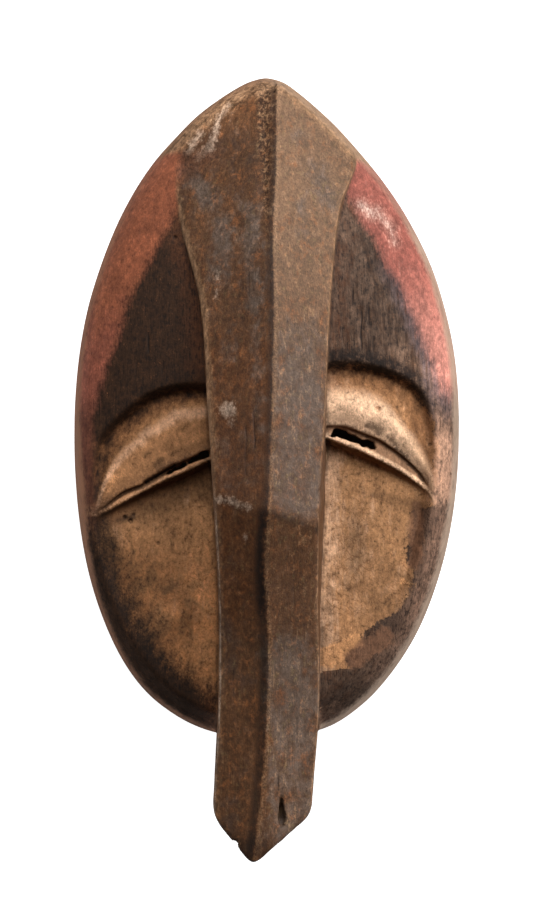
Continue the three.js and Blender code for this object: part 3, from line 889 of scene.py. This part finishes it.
def paint_edges(x, y, recess):
    """Distances inside the red bands and the clay on the face."""
    left = x < 0
    red = np.where(left, along(RED_EDGE["left"], y) - x, x - along(RED_EDGE["right"], y)) * 0.8
    red_end = y - of_side(x, RED_END_Y)
    clay = np.where(left, x - along(CLAY_EDGE["left"], y), broken_line(CLAY_EDGE["right"], y) - x) * 0.8
    below_right_brow = 1.6 * ease((x - 12) / 2) * ease((y - 9) / 6)
    at_left_corner = 3.0 * ease((-37 - x) / 4) * ease((7 - y) / 6)
    in_recess = np.where(y > -12, recess * BROW_STEP - below_right_brow + at_left_corner, 9)
    return {
        "red": short(smooth_min(red, red_end * 0.45, 2)),
        "clay": short(np.minimum(in_recess, np.where(y < 2.5, clay, 9))),
    }


def paint_fields(points, maps):
    """What each vertex tells the material: how deep it lies in each paint, and where it is worn or dirty."""
    x, y, z = points.T
    m, lines = read_all(x, y, z, maps)
    slope = slope_of(points, maps)
    normal = -slope / np.maximum(np.linalg.norm(slope, axis=1), 1e-6)[:, None]
    side, face = shell_fields(z, m, lines)
    crest = clamp01(0.5 + (crest_field(x, y, z, m, lines, side) - face) / 0.6)
    gable_corner = of_side(x, GABLE_CORNER_Y)
    on_gable = ease((y - gable_corner + 1.6 * m["wave"] * clamp01((15 - z) / 4)) / 2.5)
    inner = field_at(points - WEAR_PROBE * normal, maps)
    outer = field_at(points + WEAR_PROBE * normal, maps)
    in_hollow = (m["out"] > RIM_WIDTH - 1) & (z < m["bowl"] + 1)
    across_crack, crack_strength = to_crack(x, y)
    fields = {
        "crest": np.maximum(crest, on_gable),
        "edge": short(side),
        "convex": clamp01(1 - inner / WEAR_PROBE),
        "cavity": clamp01(1 + outer / WEAR_PROBE),
        "behind": clamp01(ease((-normal[:, 2] - 0.05) / 0.3) + in_hollow),
        "tone": np.clip(mix(stained(FACE_STAINS, x, y), stained(CREST_STAINS, x, y), crest), -2, 1),
        "across_crack": np.clip(across_crack, -2, 2),
        "crack": crack_strength,
    }
    fields.update({name: inside_marks(marks, x, y) for name, marks in MARKS.items()})
    fields.update(crest_places(x, y, z, lines))
    fields.update(eye_places(x, y, m["recess"]))
    fields.update(paint_edges(x, y, m["recess"]))
    return fields


def store_paint(piece, maps):
    points = vertex_places(piece) * 1000
    for name, values in paint_fields(points, maps).items():
        attribute = piece.data.attributes.new("p_" + name, "FLOAT", "POINT")
        attribute.data.foreach_set("value", np.asarray(values, np.float32))


# Materials

class Value:
    """A number that the material works out at each place, added and multiplied like any other."""

    def __init__(self, graph, socket):
        self.graph = graph
        self.socket = socket

    def __add__(self, other):
        return self.graph.math("ADD", self, other)

    def __sub__(self, other):
        return self.graph.math("SUBTRACT", self, other)

    def __rsub__(self, other):
        return self.graph.math("SUBTRACT", other, self)

    def __mul__(self, other):
        return self.graph.math("MULTIPLY", self, other)

    __radd__ = __add__
    __rmul__ = __mul__


class Graph:
    """A material's nodes, with one short method for each kind of node it uses."""

    def __init__(self, name):
        self.material = bpy.data.materials.new(name)
        self.material.use_nodes = True
        self.tree = self.material.node_tree
        self.shader = self.tree.nodes["Principled BSDF"]
        self.place = self.node("ShaderNodeTexCoord").outputs["Object"]

    def node(self, kind, **settings):
        node = self.tree.nodes.new(kind)
        for name, value in settings.items():
            setattr(node, name, value)
        return node

    def feed(self, value, socket):
        if isinstance(value, Value):
            value = value.socket
        if isinstance(value, bpy.types.NodeSocket):
            self.tree.links.new(value, socket)
        elif value is not None:
            socket.default_value = value

    def field(self, name):
        return Value(self, self.node("ShaderNodeAttribute", attribute_name="p_" + name).outputs["Fac"])

    def named(self, value):
        """A value as it is, or the field that a name stands for."""
        return self.field(value) if isinstance(value, str) else value

    def axes(self):
        """The place along X, Y and Z, in metres."""
        node = self.node("ShaderNodeSeparateXYZ")
        self.feed(self.place, node.inputs[0])
        return [Value(self, output) for output in node.outputs]

    def math(self, operation, a, b=None):
        node = self.node("ShaderNodeMath", operation=operation)
        self.feed(a, node.inputs[0])
        self.feed(b, node.inputs[1])
        return Value(self, node.outputs[0])

    def scaled_place(self, factors, shift):
        node = self.node("ShaderNodeVectorMath", operation="MULTIPLY_ADD")
        self.feed(self.place, node.inputs[0])
        self.feed(factors, node.inputs[1])
        self.feed(shift, node.inputs[2])
        return node.outputs[0]

    def noise(self, size, detail, rough=0.55, shift=0, swirl=0):
        """Noise around zero, mostly from -1 to 1. Size is a bump's width in millimetres along X, Y and Z."""
        node = self.node("ShaderNodeTexNoise")
        shifts = [shift, shift * 1.7, shift * 0.6]
        self.feed(self.scaled_place([1000 / width for width in size], shifts), node.inputs["Vector"])
        for name, value in (("Scale", 1), ("Detail", detail), ("Roughness", rough), ("Distortion", swirl)):
            node.inputs[name].default_value = value
        return 4 * Value(self, node.outputs["Fac"]) - 2

    def crackle(self, size, wobble):
        """How far a place lies from the nearest crack in a dried skin, in shares of the skin's flakes."""
        bent = self.node("ShaderNodeCombineXYZ")
        self.feed(0.35 * wobble, bent.inputs[0])
        self.feed(-0.3 * wobble, bent.inputs[1])
        node = self.node("ShaderNodeTexVoronoi", feature="DISTANCE_TO_EDGE")
        self.feed(self.scaled_place([1000 / size] * 3, bent.outputs[0]), node.inputs["Vector"])
        node.inputs["Scale"].default_value = 1
        return Value(self, node.outputs["Distance"])

    def step(self, value, low, high, to_low=0, to_high=1):
        """Goes smoothly from to_low to to_high as the value goes from low to high."""
        node = self.node("ShaderNodeMapRange", interpolation_type="SMOOTHSTEP")
        self.feed(self.named(value), node.inputs["Value"])
        limits = {"From Min": low, "From Max": high, "To Min": to_low, "To Max": to_high}
        for name, limit in limits.items():
            node.inputs[name].default_value = limit
        return Value(self, node.outputs["Result"])

    def near(self, value, middle, width, strength=1):
        """Full strength where the value is at the middle, fading out over the width to both sides."""
        away = self.math("ABSOLUTE", self.named(value) - middle)
        return self.step(away, width, 0, 0, strength)

    def lay(self, below, above, cover):
        """One colour laid over another, as far as cover says."""
        node = self.node("ShaderNodeMix", data_type="RGBA", clamp_factor=True)
        self.feed(cover, node.inputs[0])
        for value, socket in ((below, node.inputs[6]), (above, node.inputs[7])):
            self.feed(linear(value) if isinstance(value, str) else value, socket)
        return node.outputs[2]

    def layers(self, colour, coats):
        """A colour with coats laid over it, each coat as (colour, cover)."""
        for above, cover in coats:
            colour = self.lay(colour, above, cover)
        return colour

    def mottled(self, colour, tone):
        """A colour made lighter and darker, in steps that double the light."""
        node = self.node("ShaderNodeVectorMath", operation="SCALE")
        self.feed(colour, node.inputs[0])
        self.feed(self.math("POWER", 2, tone), node.inputs["Scale"])
        return node.outputs[0]


class Wood(Graph):
    """The painted wood's nodes, with the unevenness that every paint shares and the places that steer it."""

    def __init__(self):
        super().__init__("painted_wood")
        self.cloud = self.noise((13, 19, 13), 4)
        self.mottle = self.noise((3.6, 5.2, 3.6), 6, 0.62, shift=11, swirl=0.4)
        self.patch = self.noise((1.8, 2.6, 1.8), 5, 0.65, shift=67, swirl=0.5)
        self.grit = self.noise((0.95, 1.2, 0.95), 4, 0.65, shift=37, swirl=0.3)
        self.speck = self.noise((0.42, 0.5, 0.42), 2, 0.6, shift=41)
        self.streak = self.noise((1, 7, 1), 4, 0.6, shift=23)
        self.grain = self.noise((0.3, 4.2, 0.3), 3, 0.6, shift=53)
        across, self.height, _ = self.axes()
        self.right = self.step(across, -0.004, 0.004)
        self.left = 1 - self.right
        self.right_facet = self.step("ridge", -0.3, 0.3)


def black_paint(g):
    """Forehead and rim: thin black stain, browner beside the crest; grey rubs and painted sheen on the
    right.
    """
    beside_crest = g.field("beside") + 3 * g.mottle + 2 * g.patch
    rubbed = g.streak + 0.6 * g.mottle
    from_edge = g.field("edge") + 0.8 * g.grit + 1.2 * g.mottle - 2 * g.right
    rim = g.step(from_edge, 7, 1)
    # The rim is wider and lighter grey on the right: worn wood, partly painted light
    rim_colour = g.lay("rim_brown", "rim_grey_worn_and_lit", g.right)
    rim = rim * g.step(g.height, -0.06, -0.035, 0.35, 1)
    return g.layers("forehead", [
        ("forehead_brown", g.step(beside_crest, 7, 0, 0, 0.65)),
        # Grey rubbed streaks on the right only, partly painted sheen
        ("forehead_grey_rub_and_sheen", g.step(rubbed, -1.1, 0.8) * g.right * 0.85),
        (rim_colour, rim * g.step(g.streak, -1.8, 0.4) * (0.3 + 0.55 * g.right)),
        ("rust_dots", g.step(g.speck + 0.5 * g.patch, 0.6, 1.5, 0, 0.6)),
        ("black", g.step(g.grit + 0.8 * g.grain, 0.1, -1.1, 0, 0.75)),
    ])


def red_paint(g):
    """Red bands: orange-brown on the left, pinker and rubbed pale and white on the right."""
    left = g.lay("red_low", "red_left", g.step(g.height + 0.008 * g.mottle, 0.022, 0.046))
    right = g.lay("red_faded", "red_right", g.step(g.height + 0.006 * g.mottle, 0.026, 0.056))
    rubbed = g.step(g.grit + 0.5 * g.patch, -0.3, -1.3)
    brushed = g.field("white") + 0.9 * g.grit + 0.9 * g.grain + 0.5 * g.mottle
    return g.layers(left, [
        (right, g.right),
        ("red_pale", g.step(g.streak, 0.3, 1.2) * (0.1 + 0.2 * g.right)),
        ("red_dark", rubbed * (0.5 - 0.15 * g.right)),
        ("red_pale", g.step(brushed, -1.8, 1.2, 0, 0.5)),
        ("white", g.step(brushed, -0.2, 2.6, 0, 0.65)),
    ])


def eye_paint(g, colour):
    """Painted shade under the brow, darker on the left, pale rubbed clay on the lids, dirt along the slits.
    """
    over_crest = g.field("over_crest") + 0.9 * g.mottle + 0.6 * g.patch
    depth = g.field("recess") + 1.6 * g.mottle + g.patch + 0.6 * g.grit
    # The socket colour is painted shade cast by the brow, between the brow and the lid crest
    socket = g.step(depth, 11.5, 3.5) * g.step(over_crest, 0.2, 3) * (0.9 - 0.2 * g.right)
    in_eye = g.step("recess", -0.5, 1.5) * g.step("over_lower", -0.8, -0.1)
    below_crest = g.step(over_crest, 1.5, -1.5) * in_eye
    rubbed = g.step(g.grit + g.patch, -2, 0, 0.4, 1)
    on_lid = g.step(over_crest, 4.5, -0.5) * g.step(over_crest, -9, -2.5, 0.55, 1) * in_eye
    margin = g.field("over_margin") + 0.9 * g.grit + 0.9 * g.patch
    patchy = g.step(g.grit + g.patch + g.mottle, -0.8, 0.7)
    # The brown between the lid margin and the lower lid is partly painted shade in the sunk eye channel
    between = g.step("over_margin", 0.2, -0.4) * g.step("over_lower", 0.7, 1.5) * in_eye
    ridge = g.field("over_lower") + 0.3 * g.speck + 0.35 * g.grit
    pale_ridge = g.near(ridge, 0.3, 1.1) * in_eye * g.step(g.grit + g.speck, -1.2, 0.6)
    pale_ridge = pale_ridge * (0.5 + 0.35 * g.right)
    return g.layers(colour, [
        # Painted brow shadow: the socket colour, then a darker one on the left only
        ("socket", socket),
        ("brow_shadow_dark", g.step(depth, 6.5, 0.5) * g.step(over_crest, 0, 3) * g.left),
        ("lid_tan", below_crest * g.left * 0.8),
        ("lid_left", g.near(over_crest, -0.6, 2.6) * in_eye * g.left * rubbed * 0.85),
        ("lid_right", on_lid * rubbed * g.right * g.step("outward", 1, 0.6, 0.4, 1)),
        ("crest_dark", g.near(margin, 0.9, 3.2) * patchy * in_eye * 0.75),
        ("clay_brown_and_shade", 0.75 * between),
        (g.lay("lid_left", "lid_right", g.right), pale_ridge),
    ])


def under_eye_paint(g, colour):
    """Painted shade under the lower lid: a brown band and a thin ragged dark line in the step right below
    it.
    """
    lower = g.field("over_lower")
    # The band is painted shade under the lower lid, stronger on the left
    band = g.step(lower + 1.5 * g.mottle + 1.2 * g.patch, -7.5, -1)
    strength = 0.85 - 0.72 * g.right
    # A thin dark line of painted shade in the step right below the lower lid
    step_shade_line = g.near(lower + 0.5 * g.grit + 0.5 * g.patch, -0.8, 0.9)
    dirt = g.field("dirt") + 0.3 + 0.9 * g.grit + 0.5 * g.speck
    return g.layers(colour, [
        ("clay_brown_and_shade", band * g.step(lower, -0.1, -1) * strength),
        ("dark_grime_and_shade", step_shade_line * g.step(g.speck, -1.2, 0.3) * 0.6),
        ("dark_grime_and_shade", g.step(dirt, -0.2, 1, 0, 0.7)),
    ])


def clay_paint(g):
    """Ochre and white clay on the eyes and cheeks, rubbed through and stained with dirt."""
    pale = 0.6 * g.mottle + 0.4 * g.cloud + 0.5 * g.streak + 0.25 * g.right
    beside_trunk = g.step("beside", 6.5, 0.5, 0, 1) * g.right
    warm = g.step(g.mottle + g.patch, -1.5, 1) * g.step(g.height, -0.01, -0.034, 0.15, 0.7)
    warm = warm * (1 - 0.9 * g.right)
    ochre = g.field("ochre") + 0.6 * g.grit + 1.2 * g.mottle
    cracked = g.step(g.patch + 0.8 * g.cloud + 0.5 * g.right, 0.1, 0.9, 0, 0.6)
    colour = g.layers("clay", [
        ("clay_brown_and_shade", g.step(g.mottle + 0.5 * g.patch, -0.1, -1.3, 0, 0.6)),
        ("clay_pale", g.step(pale + beside_trunk, 0.1, 1.6, 0, 0.6)),
        ("clay_dirt", g.step(g.cloud + 0.3 * g.patch, 0.1, 0.9, 0, 0.5)),
        ("clay_tan", warm),
        ("ochre", g.step(ochre, -0.2, 0.5, 0, 0.8)),
        ("clay_brown_and_shade", g.step(g.grit + 0.6 * g.patch, -0.2, -1.1, 0, 0.75)),
        ("dark_grime_and_shade", g.step(g.speck, -0.6, -1.1, 0, 0.6)),
        ("clay_brown_and_shade", g.step(g.crackle(2.2, g.patch), 0.07, 0.01) * cracked),
    ])
    colour = under_eye_paint(g, eye_paint(g, colour))
    return g.lay(colour, "dark_grime_and_shade", g.step(g.speck + 0.4 * g.patch, -0.6, -1.4, 0, 0.65))


def crest_skin(g):
    """The handled crest and trunk: brown wood under a patchy grey film, with rust-brown places."""
    dark = -0.7 * g.cloud + 0.9 * g.mottle + 0.4 * g.patch
    placed = g.step(g.field("grey") + 1.5 * g.mottle, -3, 3, -0.5, 1)
    film = placed + 0.5 * g.cloud + 0.5 * g.mottle + 0.6 * g.patch
    rust = -0.8 * g.mottle + 0.7 * g.patch + 0.5 * g.grit
    low_left = g.step("ridge", 0, -0.6) * g.step(g.height, 0.038, 0.024)
    low_left = low_left * g.step(g.height, -0.046, -0.034) * g.step(g.mottle, 1.4, -0.8)
    olive = -0.8 * g.patch + 0.7 * g.grit + 0.5 * g.streak
    flecks = g.streak + 0.4 * g.speck + 0.5 * g.patch
    flecks = g.step(flecks, 0.1, 1.5) * (0.12 + 0.35 * g.right_facet)
    pores = g.step(g.grain + 0.6 * g.speck, -0.6, -1.2, 0, 0.5)
    return g.layers("crest", [
        # Tan on the right facet, strongest high up: worn wood, partly painted light
        ("crest_tan_and_light", g.right_facet * g.step(g.height, -0.005, 0.07, 0, 0.5)),
        # Dark blotches, mostly on the left facet: partly painted shade
        ("crest_dark", g.step(dark, -0.1, 1) * (0.8 - 0.6 * g.right_facet)),
        ("crest_grey", g.step(film, -0.2, 1.6, 0, 0.8)),
        ("crest_rust", g.step(rust, 0, 1.2, 0, 0.7)),
        ("crest_brown", 0.75 * low_left),
        ("olive", g.step(olive, 0.2, 1.2) * (0.3 + 0.2 * g.right_facet)),
        ("worn", flecks),
        ("black", g.math("MAXIMUM", pores, g.step(g.speck, -0.6, -1.2, 0, 0.5))),
    ])


def ridge_dirt(g, colour):
    """A dark speckled band beside the ridge, wide near the apex, and a thin dark line further down."""
    ridge = g.field("ridge") + 0.3 * g.grit
    high = g.step(g.height, 0.044, 0.062)
    wide = g.step(g.height, 0.046, 0.09, 1, 4.8)
    wide_band = g.step(ridge + wide + 0.6 * g.mottle, -0.8, 1) * g.step(ridge, 0.25, -0.2) * high
    speckled = wide_band * g.step(g.grit + 0.8 * g.speck, 0.5, -0.7) * 0.55
    low = g.step(g.height, 0, -0.03, 0, 0.7)
    frayed = ridge + low + 0.4 * g.grit + 0.4 * g.patch
    thin_band = g.step(frayed, -2.2, -0.4) * g.step(ridge, 0.2, -0.15) * 0.6
    below_peak = g.step(g.height, -0.009, -0.014) * g.step(g.height, -0.052, -0.034)
    ragged = g.field("ridge") + 0.7 * g.grit + 0.6 * g.patch + 0.6 * g.mottle
    deep_band = g.near(ragged, -1.1, 2.2) * below_peak * 0.9
    beside = g.near(ridge, 0.7, 0.8) * g.step(g.speck, -0.8, 0.6) * 0.3
    return g.layers(colour, [
        ("worn", wide_band * g.step(g.grit - 0.5 * g.patch, -0.2, 0.9) * 0.5),
        ("black", g.math("MAXIMUM", speckled, g.math("MAXIMUM", thin_band, deep_band))),
        ("worn", beside),
    ])


def crest_patina(g):
    """The crest with its dirt, its rubbed arrises, the bare gable and the pale streaks."""
    colour = ridge_dirt(g, crest_skin(g))
    from_left = g.field("arris_left") - 0.5 * g.grit - 0.7 * g.streak
    high = g.step(g.height, -0.02, 0.02, 0.2, 0.65)
    thin_line = g.near("from_left", 0.45, 0.4) * g.step("arris_left", 2, 1)
    broken = g.step(g.streak + 0.4 * g.speck, -0.5, 0.5)
    from_right = g.field("arris_right") - 0.3 * g.grit
    gable_left = g.step(g.field("edge") - 0.8 * g.mottle - 0.5 * g.grit, 4.6, 0.8)
    gable_right = g.step(g.field("edge") - 0.5 * g.grit, 2.8, 0.4)
    gable = gable_left * (1 - g.right_facet) + gable_right * g.right_facet
    gable = gable * g.step(g.height, 0.045, 0.06) * g.step(g.grit + g.patch, -1.6, 0.6) * 0.6
    pale = g.field("pale") + 0.9 * g.grit + 0.4 * g.streak + 0.3 * g.speck
    return g.layers(colour, [
        ("worn", g.step(from_left, 2.6, 0.2) * high),
        ("film", thin_line * broken * g.step(g.height, 0, -0.02) * 0.6),
        ("worn", g.step(from_right, 0.8, 0, 0, 0.5)),
        ("worn", gable),
        ("film", g.step(pale, -0.5, 1.5, 0, 0.65)),
    ])


def wear_dirt_and_wall_light(g, colour):
    """Bare wood on the edge, lit and shaded copies, and on proud places; dirt in hollows, pores and cracks.
    """
    # The side wall's two colours are a lit right and a shaded left copy of one bare wood: painted light
    wall = g.lay("wall_shaded_left", "wall_lit_right", g.right)
    wall = g.lay(wall, "raw_dark", g.step(g.streak + g.mottle, 0, -1.2, 0, 0.6))
    wall = g.lay(wall, "clay_dirt", g.step(g.cloud + 0.5 * g.patch, -0.1, 0.8, 0, 0.4))
    on_edge = g.field("edge") - 0.3 * g.grit - 0.3 * g.mottle
    wide_part = g.near(g.height, -0.006, 0.032, 0.9)
    narrower = (0.4 - wide_part) * g.left
    on_wall = g.step(on_edge + narrower, 1.3, 0)
    off_crest = g.math("MAXIMUM", 1 - g.field("crest"), g.step(g.height, 0.03, 0.05))
    on_wall = on_wall * g.step(g.height, 0.055, 0.07, 0.85, 0.3)
    proud = g.step("convex", 0.35, 0.8) * g.step(g.grit, -0.2, 0.6) * 0.35
    crack = g.near("across_crack", 0, 0.4) * g.field("crack") * g.step(g.grit, -1.6, -0.6)
    return g.layers(colour, [
        (wall, on_wall * off_crest),
        ("worn", proud),
        ("dark_grime_and_shade", 0.6 * g.step("cavity", 0.15, 0.7)),
        ("black", 0.9 * crack),
        ("black", g.near("split", 0, 0.5, 0.95)),
    ])


def back_wood(g):
    """Plain darkened wood behind the face."""
    return g.layers("raw", [
        ("raw_dark", g.step(g.streak, 1.1, -1.3)),
        ("raw_dark", g.step(g.cloud, -0.2, 0.8, 0, 0.7)),
        ("worn", g.step("edge", 5.5, 2) * g.step(g.mottle, -0.6, 0.8) * 0.5),
        ("dark_grime_and_shade", g.step(g.grit, -0.3, -1, 0, 0.6)),
        ("dark_grime_and_shade", g.step("cavity", 0.1, 0.6, 0, 0.7)),
    ])


def wood_bump(g):
    """Grain, grit and cracks too fine for the mesh."""
    relief = 0.35 * g.grain + 0.4 * g.grit + 0.25 * g.speck
    crack = g.near("across_crack", 0, 0.3) * g.field("crack") * -1.5
    bump = g.node("ShaderNodeBump")
    bump.inputs["Strength"].default_value = BUMP_STRENGTH
    bump.inputs["Distance"].default_value = BUMP_HEIGHT
    g.feed(relief + crack, bump.inputs["Height"])
    g.feed(bump.outputs["Normal"], g.shader.inputs["Normal"])


def paint_covers(g):
    """How far the red and the clay cover the black. The clay's left edge is a wide soft one."""
    fray = 0.35 * g.grit + 0.35 * g.grain + 0.6 * g.mottle
    red = g.step(g.field("red") + fray, -1.4, 1.6)
    frayed = g.field("clay") + 0.45 * g.grit + 1.1 * g.mottle + 0.3 * g.speck
    torn = frayed + 0.8 * g.patch + 0.4 * g.grit
    clay_right = g.step(torn, -0.4, 0.7)
    speckled = 0.8 * g.mottle + 1.1 * g.grit + 0.8 * g.speck
    clay_left = g.step(frayed + speckled, -2.5, 7)
    return red, clay_right * g.right + clay_left * g.left


def brow_and_rubs(g, colour):
    """What lies over the paints: the brow's dark edge, dirt, umber, dust, the shade beside the red."""
    below_brow = g.field("below_brow") + 0.8 * g.mottle + 0.6 * g.patch
    brow = g.step(below_brow, -4.5, -1.8) * g.step(below_brow, 5.5, 1)
    brow = brow * g.step("recess", -6, -1) * g.step("outward", 1, 0.85)
    border = g.near(g.field("recess") + 0.8 * g.grit, 1.2, 1.8) * g.right
    specks = g.step(g.grit + g.speck + 0.7 * g.patch, 0, 0.7)
    left_edge = g.step(g.field("edge") + 0.8 * g.streak + 9 * g.right, 5, 1.5)
    below_red = g.step(g.height, -0.024, 0.004) * g.step(g.height, 0.026, 0.012)
    umber = g.field("umber") + 0.8 * g.grit + 0.7 * g.mottle
    dust = g.field("dust") + 0.7 * g.grit + 0.8 * g.streak + 0.7 * g.mottle
    beside_red = g.near(g.field("red") + 0.8 * g.mottle, -0.8, 2.8)
    low = g.step(g.height, 0.056, 0.044)
    return g.layers(colour, [
        ("black", brow * g.step(g.mottle + g.grit, 1.7, -0.6) * (0.28 + 0.64 * g.right)),
        ("dark_grime_and_shade", border * specks * g.step("outward", 0.1, 0.5) * 0.85),
        ("red_low", left_edge * below_red * 0.55),
        ("umber", g.step(umber, -0.6, 0.8, 0, 0.85)),
        ("dust", g.step(dust, -0.8, 1.8, 0, 0.62)),
        ("shade", beside_red * g.right * low * g.step(g.streak, -1.2, 0.4) * 0.6),
    ])


def painted_wood():
    """The whole material: paints over one another, the crest, wear, dirt, painted light and shade, the wood
    behind.
    """
    g = Wood()
    crest = g.field("crest")
    red, clay = paint_covers(g)
    colour = g.lay(black_paint(g), red_paint(g), red)
    colour = brow_and_rubs(g, g.lay(colour, clay_paint(g), clay))
    colour = g.lay(colour, crest_patina(g), crest)
    left_facet = crest * g.step("ridge", 0.3, -0.3)
    tone = g.field("tone") + 0.4 * g.mottle + 0.55 * g.patch + 0.5 * g.grit + g.grain * (0.4 - 0.3 * clay)
    tone = tone + 0.3 * g.speck + left_facet * (0.2 * g.patch + 0.2 * g.grit)
    colour = wear_dirt_and_wall_light(g, g.mottled(colour, tone))
    g.feed(g.lay(colour, back_wood(g), g.field("behind")), g.shader.inputs["Base Color"])
    chalky = clay * (1 - crest) * 0.15
    smooth = g.step(crest + 0.15 * g.grit, 0.1, 0.9)
    g.feed(ROUGHNESS + chalky - 0.12 * smooth + 0.05 * g.grit, g.shader.inputs["Roughness"])
    g.shader.inputs["Specular IOR Level"].default_value = SPECULAR_LEVEL
    wood_bump(g)
    return g.material


# Floor, lights and camera

CAMERA_HEIGHT = 0.9
PHOTO_HEIGHT_AT_FLOOR = 0.2439
FLOOR_REACH = 4
FLOOR_Z = -0.0002
# The oval behind the hollow where the floor doesn't glow
DARK_MIDDLE_Y = 0.012
DARK_HALF_WIDTH = 0.046
DARK_HALF_LENGTH = 0.078


def floor():
    """White paper that glows evenly, except behind the mask, where its hollow stays dark."""
    corners = FLOOR_REACH * np.array([(-1, -1), (1, -1), (1, 1), (-1, 1)])
    places = np.array([(x, y, FLOOR_Z) for x, y in corners])
    piece = mesh_object("floor", places, np.array([[0, 1, 2, 3]]))
    g = Graph("white_paper")
    x, y, _ = g.axes()
    across = g.math("POWER", g.math("DIVIDE", x, DARK_HALF_WIDTH), 2)
    up = g.math("POWER", g.math("DIVIDE", y - DARK_MIDDLE_Y, DARK_HALF_LENGTH), 2)
    g.feed(g.step(across + up, 0.9, 1), g.shader.inputs["Emission Strength"])
    g.shader.inputs["Emission Color"].default_value = (1, 1, 1, 1)
    g.shader.inputs["Base Color"].default_value = (0.6, 0.6, 0.6, 1)
    g.shader.inputs["Roughness"].default_value = 1.0
    g.shader.inputs["Specular IOR Level"].default_value = 0.0
    piece.data.materials.append(g.material)
    piece.visible_glossy = False


def area_light(name, place, size, power, tint=(1, 1, 1)):
    light = bpy.data.lights.new(name, "AREA")
    light.shape = "DISK"
    light.size = size
    light.energy = power
    light.color = tint
    lamp = bpy.data.objects.new(name, light)
    lamp.location = place
    lamp.rotation_euler = (-Vector(place)).to_track_quat("-Z", "Y").to_euler()
    bpy.context.scene.collection.objects.link(lamp)


def light_scene():
    area_light("upper_right", (0.75, 0.7, 0.8), 1.0, 12)
    area_light("right", (1.15, 0.2, 0.55), 1.0, 9)
    area_light("head_end", (0, 0.95, 0.9), 1.0, 12)
    area_light("left_fill", (-0.95, 0.1, 0.8), 1.0, 2.4)
    world = bpy.data.worlds.new("studio")
    world.use_nodes = True
    background = world.node_tree.nodes["Background"]
    background.inputs["Color"].default_value = (1, 1, 1, 1)
    background.inputs["Strength"].default_value = 0.02
    bpy.context.scene.world = world
    bpy.context.scene.view_settings.view_transform = "Standard"


def camera():
    data = bpy.data.cameras.new("camera")
    data.lens = data.sensor_width * CAMERA_HEIGHT / PHOTO_HEIGHT_AT_FLOOR
    data.clip_end = 10
    eye = bpy.data.objects.new("camera", data)
    eye.location = (0, 0, CAMERA_HEIGHT)
    bpy.context.scene.collection.objects.link(eye)
    bpy.context.scene.camera = eye


def main():
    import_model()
    camera()
    maps = face_maps()
    mask = carve(maps)
    store_paint(mask, maps)
    mask.data.materials.append(painted_wood())
    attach(mask, "root")
    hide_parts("mask")
    floor()
    light_scene()


main()
